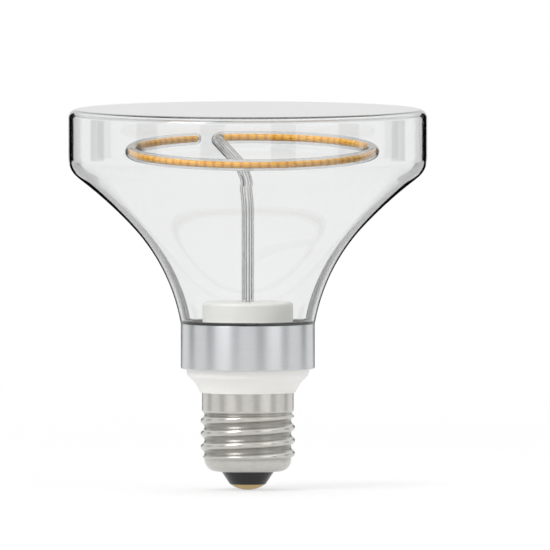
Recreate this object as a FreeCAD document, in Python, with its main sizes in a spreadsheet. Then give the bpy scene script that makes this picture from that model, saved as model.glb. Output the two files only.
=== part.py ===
"""A led filament bulb with a flat-topped, flared clear glass and a screw cap.

The axis of the bulb is Z, the tip of the centre contact is the origin, and the
flat front of the glass is at the top. Lengths are in millimetres and angles in
degrees.
"""

import FreeCAD, Part
import Sketcher

import math
import os

from FreeCAD import Placement, Rotation, Vector

SIZES = {
    "bulb_width": 100.0,
    "bulb_height": 106.0,
    "glass_wall": 0.9,
    "glass_corner_round": 6.5,
    "glass_rim_round": 2.4,
    "flare_joint_width": 64.0,
    "flare_joint_depth": 32.85,
    "flare_cone_height": 2.0,
    "flare_cone_spread": 0.43,
    "flare_upper_bend": 116.0,
    "neck_gap": 0.4,
    "neck_depth": 6.6,
    "collar_width": 37.3,
    "collar_wall": 0.8,
    "collar_height": 12.6,
    "collar_edge_round": 0.35,
    "waist_step": 1.45,
    "taper_height": 6.6,
    "taper_edge_step": 0.5,
    "taper_edge_drop": 2.1,
    "taper_edge_round": 1.0,
    "taper_foot_width": 26.7,
    "taper_bend": 9.4,
    "shoulder_depth": 4.0,
    "barrel_gap": 0.35,
    "housing_wall": 1.4,
    "deck_drop": 0.4,
    "spigot_gap": 0.25,
    "spigot_base": 9.8,
    "spigot_wall": 1.2,
    "board_ledge": 1.1,
    "seat_width": 25.2,
    "seat_height": 6.5,
    "seat_plate": 1.5,
    "seat_rim": 0.8,
    "seat_plug_depth": 1.6,
    "seat_edge_round": 1.0,
    "boss_width": 7.2,
    "socket_width": 4.2,
    "socket_depth": 3.9,
    "socket_floor": 1.2,
    "lead_hole": 2.0,
    "tube_width": 3.4,
    "tube_wall": 0.5,
    "stem_corner_depth": 6.0,
    "stem_bend": 14.0,
    "hook_setback": 2.69,
    "ring_offset": 1.2,
    "ring_depth": 11.7,
    "ring_radius": 33.7,
    "ring_tilt_angle": 4.0,
    "ring_start_angle": 103.1,
    "ring_gap_angle": 15.1,
    "filament_width": 1.9,
    "strip_width": 1.2,
    "strip_thickness": 0.16,
    "chip_length": 1.3,
    "chip_width": 0.7,
    "chip_thickness": 0.25,
    "chip_pitch": 2.5,
    "lead_width": 0.4,
    "lead_offset": 0.45,
    "ferrule_width": 0.64,
    "ferrule_length": 0.9,
    "shell_top": 27.2,
    "shell_band_width": 25.5,
    "shell_sheet": 0.3,
    "thread_crest_width": 26.25,
    "thread_root_width": 24.1,
    "thread_pitch": 3.629,
    "thread_base": 8.4,
    "thread_top": 21.6,
    "thread_fade": 1.2,
    "lip_bend": 3.2,
    "lip_hole": 15.0,
    "contact_width": 9.8,
    "contact_height": 1.6,
    "contact_shank_width": 3.8,
    "contact_shank_length": 1.9,
    "insulator_foot_width": 10.0,
    "insulator_plate": 3.2,
    "wire_hole": 2.0,
    "live_wire_width": 1.3,
    "neutral_wire_width": 0.8,
    "board_front": 1.2,
    "board_thickness": 1.2,
    "board_width": 19.4,
    "board_length": 31.2,
    "can_width": 8.0,
    "can_length": 12.0,
    "can_left": 4.3,
    "can_lift": 3.2,
    "can_pin_spread": 3.0,
    "pin_width": 0.6,
    "film_width": 7.0,
    "film_depth": 4.6,
    "film_length": 9.0,
    "film_right": 2.2,
    "film_lift": 15.1,
    "film_round": 0.6,
    "choke_width": 7.0,
    "choke_length": 7.5,
    "choke_flange": 1.0,
    "choke_spindle_width": 3.2,
    "choke_left": 4.9,
    "choke_lift": 17.3,
    "winding_width": 6.4,
    "fuse_width": 2.9,
    "fuse_neck_width": 2.5,
    "fuse_length": 8.0,
    "fuse_lead": 1.8,
    "fuse_right": 5.6,
    "fuse_lift": 4.1,
    "bridge_width": 6.0,
    "bridge_depth": 2.4,
    "bridge_length": 4.6,
    "bridge_lift": 4.1,
    "bridge_leg_spread": 4.0,
    "chip_case_width": 3.9,
    "chip_case_depth": 1.5,
    "chip_case_length": 4.9,
    "chip_case_lift": 17.1,
    "chip_leg_pitch": 1.27,
    "chip_leg_width": 0.4,
    "leg_reach": 0.9,
    "leg_lift": 0.2,
    "resistor_length": 2.0,
    "resistor_width": 1.25,
    "resistor_depth": 0.5,
    "resistor_side": 6.0,
    "resistor_lift": 8.0,
    "resistor_pitch": 5.5,
    "terminal_width": 6.4,
    "terminal_depth": 3.4,
    "terminal_height": 4.0,
    "terminal_drop": 1.0,
    "live_wire_bend": 1.6,
    "neutral_wire_bend": 0.9,
    "neutral_wire_left": 7.6,
    "neutral_wire_rise": 2.1,
    "clearance": 0.1,
    "close_fit": 0.05,
}


# How finely the smooth surface of the cap shell is held by its poles
SHELL_POLES_AROUND = 24
SHELL_ROWS_A_PITCH = 8
SHELL_ROWS_A_LIP = 6
SHELL_ROWS_A_BAND = 4


class Size:
    """One size: its expression over the sheet of sizes, and the number it has now."""

    def __init__(self, text, number):
        self.text = text
        self.number = number

    def __add__(self, other):
        other = as_size(other)
        return Size(f"({self.text} + {other.text})", self.number + other.number)

    def __sub__(self, other):
        other = as_size(other)
        return Size(f"({self.text} - {other.text})", self.number - other.number)

    def __mul__(self, other):
        other = as_size(other)
        return Size(f"({self.text} * {other.text})", self.number * other.number)

    def __truediv__(self, other):
        other = as_size(other)
        return Size(f"({self.text} / {other.text})", self.number / other.number)


def as_size(value):
    if isinstance(value, Size):
        return value
    return Size(repr(value), value)


def cosine(angle):
    return Size(f"cos({angle.text})", math.cos(math.radians(angle.number)))


def sine(angle):
    return Size(f"sin({angle.text})", math.sin(math.radians(angle.number)))


def minus(value):
    return as_size(0.0) - value


document = FreeCAD.newDocument("led_filament_bulb")
sheet = document.addObject("Spreadsheet::Sheet", "sizes")
for row, (alias, value) in enumerate(SIZES.items(), start=1):
    sheet.set(f"A{row}", alias.replace("_", " "))
    sheet.set(f"B{row}", str(value))
    sheet.setAlias(f"B{row}", alias)
document.recompute()


class Sheet:
    """The named sizes, read back from the sheet's cells."""

    def __getattr__(self, alias):
        return Size(f"sizes.{alias}", float(sheet.get(alias)))


size = Sheet()
ZERO = as_size(0.0)

# Heights and radii that several pieces share
glass_radius = size.bulb_width / 2
collar_radius = size.collar_width / 2
collar_bore = collar_radius - size.collar_wall
collar_base = size.shell_top + size.taper_height
collar_top = collar_base + size.collar_height
lip_top = collar_base + size.collar_wall
neck_radius = collar_bore - size.neck_gap
neck_base = collar_top - size.neck_depth
waist_radius = collar_radius - size.waist_step
shoulder_radius = collar_bore - size.clearance
ledge_height = lip_top + size.shoulder_depth
barrel_radius = neck_radius - size.glass_wall - size.barrel_gap
deck_height = collar_top - size.deck_drop
band_radius = size.shell_band_width / 2
band_bore = band_radius - size.shell_sheet
spigot_radius = size.thread_root_width / 2 - size.shell_sheet - size.spigot_gap
spigot_bore = spigot_radius - size.spigot_wall
board_base = size.spigot_base + size.board_ledge
seat_radius = size.seat_width / 2
plug_radius = seat_radius - size.seat_rim
seat_top = deck_height + size.seat_height
socket_base = seat_top - size.socket_depth
tube_radius = size.tube_width / 2
lip_hole_radius = size.lip_hole / 2
shell_base = size.thread_base - size.lip_bend
insulator_top = shell_base + size.shell_sheet + size.insulator_plate
contact_seat = size.contact_height * 0.7
ring_end_angle = size.ring_start_angle + size.ring_gap_angle
ring_height = size.bulb_height - size.ring_depth
stem_corner_height = ring_height - size.stem_corner_depth
flare_joint_height = size.bulb_height - size.flare_joint_depth
cone_radius = collar_radius + size.flare_cone_spread
cone_top_height = collar_top + size.flare_cone_height
terminal_top = size.spigot_base + size.board_ledge + size.board_length - size.terminal_drop
board_back = size.board_front + size.board_thickness
board_top = board_base + size.board_length


def origin_feature(body, role):
    return next(item for item in body.Origin.OriginFeatures if item.Role == role)


def new_body(label):
    body = document.addObject("PartDesign::Body", label)
    body.Label = label
    return body


def bound(item, **values):
    """Binds each named property of the object to a size's expression."""
    for path, value in values.items():
        item.setExpression(path, as_size(value).text)
    return item


def placed(item, along_x, along_y, along_z):
    """Binds the place of an object."""
    for axis, value in zip("xyz", (along_x, along_y, along_z)):
        item.setExpression(f"Placement.Base.{axis}", as_size(value).text)
    return item


def flat_sketch(body, name, role="XZ_Plane"):
    sketch = body.newObject("Sketcher::SketchObject", name)
    sketch.AttachmentSupport = [(origin_feature(body, role), "")]
    sketch.MapMode = "FlatFace"
    return sketch


def middle_of_arc(start, end, bend):
    """A point on the arc from start to end whose radius is bend; a positive bend bows to the right."""
    half = (end - start) * 0.5
    rise = abs(bend) - math.sqrt(bend * bend - half.Length ** 2)
    side = Vector(half.y, -half.x, 0).normalize()
    return start + half + side * math.copysign(rise, bend)


class Corner:
    """One corner of an outline, and how the outline arrives at it.

    Without a bend the run that arrives is straight. A positive bend bows to the
    right of the way it goes. A smooth run goes on from the one before without a
    kink. What is loose isn't held by a size, but found by the smooth runs: "up" is
    the height, "both" the whole place and "bend" the radius.
    """

    def __init__(self, along, up, bend=None, smooth=False, loose=""):
        self.along = as_size(along)
        self.up = as_size(up)
        self.bend = bend
        self.smooth = smooth
        self.loose = loose
        self.point = Vector(self.along.number, self.up.number, 0)


def held_place(edge, end, corner):
    """Constraints that hold one end of an edge at its corner's sizes, with their expressions."""
    held = []
    for kind, axis, value, loose in (
        ("DistanceX", -2, corner.along, ("both",)),
        ("DistanceY", -1, corner.up, ("both", "up")),
    ):
        if corner.loose in loose:
            continue
        if value.text == ZERO.text:
            held.append((Sketcher.Constraint("PointOnObject", edge, end, axis), None))
        else:
            held.append((Sketcher.Constraint(kind, -1, 1, edge, end, value.number), value.text))
    return held


def draw(sketch, corners):
    """Draws a closed outline through the corners, each held by its sizes."""
    corners = [corner if isinstance(corner, Corner) else Corner(*corner) for corner in corners]
    ends = []
    constraints = []
    for index, corner in enumerate(corners):
        start = corners[index - 1].point
        if corner.bend is None:
            edge = sketch.addGeometry(Part.LineSegment(start, corner.point))
            ends.append((edge, 1, 2))
            continue
        middle = middle_of_arc(start, corner.point, corner.bend.number)
        edge = sketch.addGeometry(Part.Arc(start, middle, corner.point))
        clockwise = sketch.getPoint(edge, 1).distanceToPoint(start) > 0.001
        ends.append((edge, 2, 1) if clockwise else (edge, 1, 2))
        if corner.loose != "bend":
            bend = corner.bend if corner.bend.number > 0 else minus(corner.bend)
            constraints.append((Sketcher.Constraint("Radius", edge, bend.number), bend.text))
    for index, (edge, first, last) in enumerate(ends):
        before = ends[index - 1]
        join = "Tangent" if corners[index].smooth else "Coincident"
        constraints.append((Sketcher.Constraint(join, before[0], before[2], edge, first), None))
        constraints.extend(held_place(edge, last, corners[index]))
    sketch.addConstraint([constraint for constraint, text in constraints])
    for index, (constraint, text) in enumerate(constraints):
        if text:
            sketch.setExpression(f"Constraints[{index}]", text)
    return sketch


def turned(label, corners):
    """A body turned about Z from one closed outline of (radius, height) corners."""
    body = new_body(label)
    sketch = draw(flat_sketch(body, f"{label}_outline"), corners)
    turn = body.newObject("PartDesign::Revolution", f"{label}_turned")
    turn.Profile = sketch
    turn.ReferenceAxis = (sketch, ["V_Axis"])
    turn.Angle = 360
    document.recompute()
    return body


def round_rings(body, name, rounding, rings):
    """Rounds the circular edges that lie at the given (radius, height) places."""
    names = []
    for index, edge in enumerate(body.Tip.Shape.Edges, start=1):
        if edge.Curve.TypeId != "Part::GeomCircle":
            continue
        for radius, height in rings:
            apart = abs(edge.Curve.Radius - radius.number) + abs(edge.Curve.Center.z - height.number)
            if apart < 0.01:
                names.append(f"Edge{index}")
    base = body.Tip
    fillet = body.newObject("PartDesign::Fillet", name)
    fillet.Base = (base, names)
    fillet.setExpression("Radius", rounding.text)
    document.recompute()
    return fillet


def flare_start():
    """The bend of the lower flare, and where the glass corner begins and ends, before the sketch solves them."""
    cone_foot = Vector(collar_radius.number, collar_top.number, 0)
    cone_top = Vector(cone_radius.number, cone_top_height.number, 0)
    joint = Vector(size.flare_joint_width.number / 2, flare_joint_height.number, 0)
    upper = size.flare_upper_bend.number
    corner = size.glass_corner_round.number
    chord = joint - cone_top
    half_turn = (cone_top - cone_foot).getAngle(chord)
    lower = chord.Length / (2 * math.sin(half_turn))
    rise = lower * math.cos(half_turn)
    lower_centre = (cone_top + joint) * 0.5 + Vector(chord.y, -chord.x, 0).normalize() * rise
    upper_centre = joint + (lower_centre - joint).normalize() * upper
    corner_x = glass_radius.number - corner
    reach = math.sqrt((upper + corner) ** 2 - (upper_centre.x - corner_x) ** 2)
    corner_centre = Vector(corner_x, upper_centre.y + reach, 0)
    flare_end = corner_centre + (upper_centre - corner_centre).normalize() * corner
    return lower, flare_end, corner_centre.y


def make_glass_envelope():
    """The blown glass: flat front, straight side, flare in two smooth bends, and a neck."""
    lower_bend, flare_end, side_foot = flare_start()
    rim = size.glass_rim_round
    body = turned("glass_envelope", [
        Corner(ZERO, neck_base),
        Corner(neck_radius, neck_base),
        Corner(neck_radius, collar_top),
        Corner(collar_radius, collar_top),
        Corner(cone_radius, cone_top_height),
        Corner(size.flare_joint_width / 2, flare_joint_height, as_size(-lower_bend), smooth=True, loose="bend"),
        Corner(flare_end.x, flare_end.y, minus(size.flare_upper_bend), smooth=True, loose="both"),
        Corner(glass_radius, side_foot, size.glass_corner_round, smooth=True, loose="up"),
        Corner(glass_radius, size.bulb_height - rim, smooth=True),
        Corner(glass_radius - rim, size.bulb_height, minus(rim)),
        Corner(ZERO, size.bulb_height),
    ])
    open_end = [
        f"Face{index}"
        for index, face in enumerate(body.Tip.Shape.Faces, start=1)
        if abs(face.CenterOfMass.z - neck_base.number) < 0.001
    ]
    base = body.Tip
    hollow = body.newObject("PartDesign::Thickness", "glass_hollow")
    hollow.Base = (base, open_end)
    hollow.Reversed = True
    hollow.setExpression("Value", size.glass_wall.text)
    return body


def make_neck_cement():
    """The silicone bed that holds the glass neck: a trough round the neck's end."""
    inner_leg_top = neck_base + size.neck_depth * 0.5
    outer_leg_top = neck_base + size.neck_depth * 0.7
    neck_bore = neck_radius - size.glass_wall
    return turned("neck_cement", [
        (barrel_radius + size.close_fit, ledge_height),
        (shoulder_radius, ledge_height),
        (shoulder_radius, outer_leg_top),
        (neck_radius + size.close_fit, outer_leg_top),
        (neck_radius + size.close_fit, neck_base),
        (neck_bore - size.close_fit, neck_base),
        (neck_bore - size.close_fit, inner_leg_top),
        (barrel_radius + size.close_fit, inner_leg_top),
    ])


def make_collar():
    """The drawn aluminium ring, with a lip turned in under the housing's shoulder."""
    lip_radius = waist_radius + size.clearance
    body = turned("collar", [
        (lip_radius, collar_base),
        (collar_radius, collar_base),
        (collar_radius, collar_top),
        (collar_bore, collar_top),
        (collar_bore, lip_top),
        (lip_radius, lip_top),
    ])
    edges = [(collar_radius, collar_base)]
    round_rings(body, "collar_edge", size.collar_edge_round, edges)
    return body


def make_driver_housing():
    """The moulded housing: deck, barrel, shoulder, waisted taper and a spigot in the cap."""
    edge_radius = waist_radius - size.taper_edge_step
    edge_height = collar_base - size.taper_edge_drop
    foot_radius = size.taper_foot_width / 2
    band_fit = band_bore - size.close_fit
    fit_base = size.thread_top + size.thread_fade / 2
    barrel_bore = barrel_radius - size.housing_wall
    band_part_bore = band_fit - size.housing_wall
    body = turned("driver_housing", [
        (spigot_bore, board_base),
        (spigot_bore - size.board_ledge, board_base),
        (spigot_bore - size.board_ledge, size.spigot_base),
        (spigot_radius, size.spigot_base),
        (spigot_radius, fit_base),
        (band_fit, fit_base + size.housing_wall / 2),
        (band_fit, size.shell_top),
        (foot_radius, size.shell_top),
        (edge_radius, edge_height, minus(size.taper_bend)),
        (waist_radius, collar_base),
        (waist_radius, lip_top),
        (shoulder_radius, lip_top),
        (shoulder_radius, ledge_height),
        (barrel_radius, ledge_height),
        (barrel_radius, deck_height),
        (plug_radius + size.clearance, deck_height),
        (plug_radius + size.clearance, deck_height - size.housing_wall),
        (barrel_bore, deck_height - size.housing_wall),
        (barrel_bore, lip_top),
        (band_part_bore, size.shell_top + size.housing_wall / 2),
        (band_part_bore, fit_base + size.housing_wall),
        (spigot_bore, fit_base),
    ])
    round_rings(body, "taper_edge", size.taper_edge_round, [(edge_radius, edge_height)])
    return body


def make_tube_seat():
    """The white cover that plugs into the deck and holds the foot of the light tube."""
    boss_radius = size.boss_width / 2
    socket_radius = size.socket_width / 2
    hole_radius = size.lead_hole / 2
    skirt_bore = plug_radius - size.spigot_wall
    boss_base = socket_base - size.socket_floor
    plate_base = seat_top - size.seat_plate
    body = turned("tube_seat", [
        (hole_radius, boss_base),
        (boss_radius, boss_base),
        (boss_radius, plate_base),
        (skirt_bore, plate_base),
        (skirt_bore, deck_height - size.seat_plug_depth),
        (plug_radius, deck_height - size.seat_plug_depth),
        (plug_radius, deck_height),
        (seat_radius, deck_height),
        (seat_radius, seat_top),
        (socket_radius, seat_top),
        (socket_radius, socket_base),
        (hole_radius, socket_base),
    ])
    round_rings(body, "seat_edge", size.seat_edge_round, [(seat_radius, seat_top)])
    return body


def make_tube_grommet():
    """The soft sleeve between the socket and the foot of the light tube."""
    inside = tube_radius + size.close_fit
    outside = size.socket_width / 2 - size.close_fit
    return turned("tube_grommet", [
        (inside, socket_base),
        (outside, socket_base),
        (outside, seat_top),
        (inside, seat_top),
    ])


def ring_point(angle, out=0.0, up=0.0):
    """A point by its angle round the tilted ring, out from its centreline and up from its plane."""
    reach = size.ring_radius.number + out
    turn = math.radians(angle)
    flat = Vector(reach * math.cos(turn), reach * math.sin(turn), up)
    tilt = Rotation(Vector(1, 0, 0), size.ring_tilt_angle.number)
    return Vector(size.ring_offset.number, 0, ring_height.number) + tilt.multVec(flat)


def ring_direction(angle):
    """The way the tube runs round the ring: clockwise, seen from the front of the bulb."""
    turn = math.radians(angle)
    tilt = Rotation(Vector(1, 0, 0), size.ring_tilt_angle.number)
    return tilt.multVec(Vector(math.sin(turn), -math.cos(turn), 0))


class Route:
    """The centreline of the light tube, worked out from the sizes."""

    def __init__(self):
        self.start_angle = size.ring_start_angle.number
        self.end_angle = self.start_angle + size.ring_gap_angle.number - 360
        self.foot = Vector(0, 0, socket_base.number)
        self.corner = Vector(0, 0, stem_corner_height.number)
        self.ring_start = ring_point(self.start_angle)
        self.ring_way = ring_direction(self.start_angle)
        self.hook_corner = self.ring_start - self.ring_way * size.hook_setback.number
        self.slant = (self.hook_corner - self.corner).normalize()
        turn = self.slant.getAngle(self.ring_way)
        self.hook_bend = size.hook_setback.number / math.tan(turn / 2)
        self.hook_side = self.slant.cross(self.ring_way).normalize()
        self.stem_side = Vector(0, 0, 1).cross(self.slant).normalize()


def bent_edges(points, bends):
    """Straight runs through the points, joined by a tangent arc of each bend's radius."""
    edges = []
    here = points[0]
    for index, bend in enumerate(bends, start=1):
        corner = points[index]
        arriving = (corner - points[index - 1]).normalize()
        leaving = (points[index + 1] - corner).normalize()
        turn = arriving.getAngle(leaving)
        setback = bend * math.tan(turn / 2)
        start = corner - arriving * setback
        finish = corner + leaving * setback
        inward = (leaving - arriving).normalize()
        centre = corner + inward * (bend / math.cos(turn / 2))
        if (start - here).Length > 0.001:
            edges.append(Part.LineSegment(here, start).toShape())
        edges.append(Part.Arc(start, centre - inward * bend, finish).toShape())
        here = finish
    if (points[-1] - here).Length > 0.001:
        edges.append(Part.LineSegment(here, points[-1]).toShape())
    return edges


def path(name, edges):
    """A path of edges joined end to end, kept as an object of its own."""
    line = document.addObject("Part::Feature", name)
    line.Shape = Part.Wire(edges)
    return line


def pipe(name, line, radius):
    """A round solid swept along a path that starts upwards or in a known direction."""
    first = line.Shape.Edges[0]
    start = first.valueAt(first.FirstParameter)
    way = first.tangentAt(first.FirstParameter)
    section = document.addObject("Part::Circle", f"{name}_section")
    section.setExpression("Radius", radius.text)
    section.Placement = Placement(start, Rotation(Vector(0, 0, 1), way))
    sweep = document.addObject("Part::Sweep", name)
    sweep.Sections = [section]
    sweep.Spine = (line, [f"Edge{index}" for index in range(1, len(line.Shape.Edges) + 1)])
    sweep.Solid = True
    sweep.Frenet = False
    return sweep


def ball(name, radius, angle):
    """A ball on the ring's centreline at the given angle."""
    item = document.addObject("Part::Sphere", name)
    item.setExpression("Radius", radius.text)
    placed(
        item,
        size.ring_offset + size.ring_radius * cosine(angle),
        size.ring_radius * sine(angle) * cosine(size.ring_tilt_angle),
        ring_height + size.ring_radius * sine(angle) * sine(size.ring_tilt_angle),
    )
    return item


def fused(name, items):
    item = document.addObject("Part::MultiFuse", name)
    item.Shapes = items
    item.Refine = False
    return item


def cut(name, base, tool):
    item = document.addObject("Part::Cut", name)
    item.Base = base
    item.Tool = tool
    item.Refine = False
    item.Label = name
    return item


def make_light_tube(route):
    """The clear tube: a stem, one slow bend, a slant to the back, a hook and the ring."""
    edges = bent_edges(
        [route.foot, route.corner, route.hook_corner, route.ring_start],
        [size.stem_bend.number, route.hook_bend],
    )
    half_way = (route.start_angle + route.end_angle) / 2
    ring = Part.Arc(route.ring_start, ring_point(half_way), ring_point(route.end_angle))
    line = path("tube_line", edges + [ring.toShape()])
    bore_radius = tube_radius - size.tube_wall
    solid = fused("tube_solid", [
        pipe("tube_outside", line, tube_radius),
        ball("tube_end", tube_radius, ring_end_angle),
    ])
    bore = fused("tube_bore", [
        pipe("tube_inside", line, bore_radius),
        ball("bore_end", bore_radius, ring_end_angle),
    ])
    return cut("light_tube", solid, bore)


def on_ring(body):
    """Lays a body, drawn round its own Z axis, in the tilted plane of the ring."""
    body.Placement = Placement(Vector(0, 0, 0), Rotation(Vector(1, 0, 0), size.ring_tilt_angle.number))
    body.setExpression("Placement.Rotation.Angle", size.ring_tilt_angle.text)
    placed(body, size.ring_offset, ZERO, ring_height)


def ring_sketch(body, name, role, axis):
    """A sketch turned round the ring to where the tube's closed end is."""
    sketch = flat_sketch(body, name, role)
    start = ring_end_angle
    sketch.AttachmentOffset = Placement(Vector(0, 0, 0), Rotation(axis, start.number))
    sketch.setExpression("AttachmentOffset.Rotation.Angle", start.text)
    return sketch


def round_the_ring(body, name, sketch):
    turn = body.newObject("PartDesign::Revolution", name)
    turn.Profile = sketch
    turn.ReferenceAxis = (sketch, ["V_Axis"])
    turn.setExpression("Angle", (as_size(360.0) - size.ring_gap_angle).text)
    return turn


def make_filament_strip():
    """The thin flexible strip that carries the light chips, standing on edge in the coat."""
    body = new_body("filament_strip")
    sketch = ring_sketch(body, "strip_section", "XZ_Plane", Vector(0, 1, 0))
    inside = size.ring_radius - size.strip_thickness / 2
    outside = size.ring_radius + size.strip_thickness / 2
    edge = size.strip_width / 2
    draw(sketch, [
        (inside, minus(edge)),
        (outside, minus(edge)),
        (outside, edge),
        (inside, edge),
    ])
    round_the_ring(body, "strip_turned", sketch)
    on_ring(body)
    return body


def make_led_chips():
    """The light chips, in one row on the outer face of the strip."""
    body = new_body("led_chips")
    body.AllowCompound = True
    sketch = ring_sketch(body, "chip_section", "XY_Plane", Vector(0, 0, 1))
    inside = size.ring_radius + size.strip_thickness / 2
    outside = inside + size.chip_thickness
    first_step = size.chip_pitch / 2
    draw(sketch, [
        (inside, first_step - size.chip_length / 2),
        (outside, first_step - size.chip_length / 2),
        (outside, first_step + size.chip_length / 2),
        (inside, first_step + size.chip_length / 2),
    ])
    pad = body.newObject("PartDesign::Pad", "chip")
    pad.Profile = sketch
    pad.Midplane = True
    pad.setExpression("Length", size.chip_width.text)
    document.recompute()
    around = as_size(360.0) - size.ring_gap_angle
    ring_length = size.ring_radius * around * (math.pi / 180)
    steps = Size(
        f"floor({(ring_length / size.chip_pitch).text})",
        math.floor((ring_length / size.chip_pitch).number),
    )
    row = body.newObject("PartDesign::PolarPattern", "chip_row")
    row.Originals = [pad]
    row.Axis = (sketch, ["N_Axis"])
    row.setExpression("Occurrences", steps.text)
    row.setExpression("Angle", (around - around / steps).text)
    body.Tip = row
    on_ring(body)
    return body


def make_phosphor_coat(strip, chips):
    """The soft yellow coat, cast round the strip and its chips, with round ends."""
    radius = size.filament_width / 2
    body = new_body("coat_ring")
    sketch = ring_sketch(body, "coat_section", "XZ_Plane", Vector(0, 1, 0))
    circle = Part.Circle(Vector(size.ring_radius.number, 0, 0), Vector(0, 0, 1), radius.number)
    edge = sketch.addGeometry(circle)
    sketch.addConstraint([
        Sketcher.Constraint("Radius", edge, radius.number),
        Sketcher.Constraint("PointOnObject", edge, 3, -1),
        Sketcher.Constraint("DistanceX", -1, 1, edge, 3, size.ring_radius.number),
    ])
    sketch.setExpression("Constraints[0]", radius.text)
    sketch.setExpression("Constraints[2]", size.ring_radius.text)
    round_the_ring(body, "coat_turned", sketch)
    on_ring(body)
    solid = fused("coat_solid", [
        body,
        ball("coat_start", radius, size.ring_start_angle),
        ball("coat_end", radius, ring_end_angle),
    ])
    return cut("phosphor_coat", solid, fused("coat_filling", [strip, chips]))


def ferrule_end(route, side):
    """Where a lead's ferrule begins and ends, beside the start of the filament."""
    radius = size.filament_width.number / 2
    offset = size.lead_offset.number
    nearest = offset - size.ferrule_width.number / 2
    gap = math.sqrt(radius * radius - nearest * nearest) + size.close_fit.number
    near = route.ring_start - route.ring_way * gap + route.hook_side * (side * offset)
    return near, near - route.ring_way * size.ferrule_length.number


def make_filament_terminals(route):
    """Two ferrules that join the leads to the start of the filament."""
    sleeves = []
    for side in (-1, 1):
        near, far = ferrule_end(route, side)
        sleeve = Part.makeCylinder(
            size.ferrule_width.number / 2, size.ferrule_length.number, far, route.ring_way
        )
        sleeves.append(sleeve)
    item = document.addObject("Part::Feature", "filament_terminals")
    item.Shape = Part.makeCompound(sleeves)
    return item


def make_lead(route, name, side):
    """A thin lead from the terminal on the board, up the stem, to its ferrule."""
    offset = side * size.lead_offset.number
    end = ferrule_end(route, side)[1]
    low = Vector(0, 0, terminal_top.number) + route.stem_side * offset
    corner = route.corner + route.stem_side * offset
    hook_corner = route.hook_corner + route.hook_side * offset
    turn = (hook_corner - corner).getAngle(end - hook_corner)
    last_bend = (end - hook_corner).Length / math.tan(turn / 2)
    edges = bent_edges([low, corner, hook_corner, end], [size.stem_bend.number, last_bend])
    return pipe(name, path(f"{name}_line", edges), size.lead_width / 2)


def smooth(share):
    return share * share * (3 - 2 * share)


def thread_wave(height, turn):
    """How far the rolled thread stands out: two tangent arcs for each pitch, faded at both ends."""
    pitch = size.thread_pitch.number
    depth = (size.thread_crest_width.number - size.thread_root_width.number) / 2
    quarter = pitch / 4
    bend = (quarter * quarter + (depth / 2) ** 2) / depth
    phase = (height - size.thread_base.number) / pitch - turn
    from_crest = abs((phase - math.floor(phase)) * pitch - pitch / 2)
    if from_crest < quarter:
        wave = depth / 2 - bend + math.sqrt(bend * bend - from_crest * from_crest)
    else:
        from_root = pitch / 2 - from_crest
        wave = bend - math.sqrt(bend * bend - from_root * from_root) - depth / 2
    fade = size.thread_fade.number
    low = smooth(min(max((height - size.thread_base.number) / fade, 0), 1))
    high = smooth(min(max((size.thread_top.number - height) / fade, 0), 1))
    return low * high * (depth / 2 + wave / smoothing(SHELL_ROWS_A_PITCH))


def smoothing(steps):
    """The share of a wave that a cubic surface keeps when each wave has this many poles."""
    return (2 + math.cos(2 * math.pi / steps)) / 3


def shell_rows():
    """Base points and outward normals up the cap shell, from its lip to its rim."""
    wall = size.thread_root_width.number / 2
    lip_bend = size.lip_bend.number
    thread_base = size.thread_base.number
    thread_top = size.thread_top.number
    rows = [(Vector(lip_hole_radius.number, 0, shell_base.number), Vector(0, 0, -1))]
    for step in range(SHELL_ROWS_A_LIP + 1):
        angle = math.radians(90 * step / SHELL_ROWS_A_LIP)
        normal = Vector(math.sin(angle), 0, -math.cos(angle))
        rows.append((Vector(wall - lip_bend, 0, thread_base) + normal * lip_bend, normal))
    thread_rows = round((thread_top - thread_base) / size.thread_pitch.number * SHELL_ROWS_A_PITCH)
    for step in range(1, thread_rows):
        height = thread_base + (thread_top - thread_base) * step / thread_rows
        rows.append((Vector(wall, 0, height), Vector(1, 0, 0)))
    for step in range(SHELL_ROWS_A_BAND + 1):
        height = thread_top + (size.shell_top.number - thread_top) * step / SHELL_ROWS_A_BAND
        rows.append((Vector(band_radius.number, 0, height), Vector(1, 0, 0)))
    return rows


def shell_surface(inset):
    """One smooth face of the cap shell, set in from its outside by the sheet's own depth."""
    poles = []
    for step in range(SHELL_POLES_AROUND):
        turn = step / SHELL_POLES_AROUND
        angle = 2 * math.pi * turn
        column = []
        for base, normal in shell_rows():
            point = base - normal * inset
            reach = (point.x + thread_wave(base.z, turn)) / smoothing(SHELL_POLES_AROUND)
            column.append(Vector(reach * math.cos(angle), reach * math.sin(angle), point.z))
        poles.append(column)
    spans_up = len(poles[0]) - 3
    surface = Part.BSplineSurface()
    surface.buildFromPolesMultsKnots(
        poles,
        [1] * (SHELL_POLES_AROUND + 1),
        [4] + [1] * (spans_up - 1) + [4],
        list(range(SHELL_POLES_AROUND + 1)),
        list(range(spans_up + 1)),
        True,
        False,
        3,
        3,
    )
    return surface.toShape()


def make_screw_shell():
    """The rolled sheet shell of the cap: turned-in lip, round thread and plain band."""
    outer = shell_surface(0.0)
    inner = shell_surface(size.shell_sheet.number)
    top = Part.makeRuledSurface(ring_edge(outer, True), ring_edge(inner, True))
    base = Part.makeRuledSurface(ring_edge(outer, False), ring_edge(inner, False))
    shell = Part.makeShell([outer, inner, top, base])
    shell.sewShape()
    item = document.addObject("Part::Feature", "screw_shell")
    item.Shape = Part.makeSolid(shell)
    return item


def ring_edge(face, upper):
    """The top or the bottom ring of a shell surface."""
    box = face.BoundBox
    level = box.ZMax if upper else box.ZMin
    rings = [edge for edge in face.Edges if edge.BoundBox.ZLength < 0.01]
    return min(rings, key=lambda edge: abs(edge.CenterOfMass.z - level))


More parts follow.
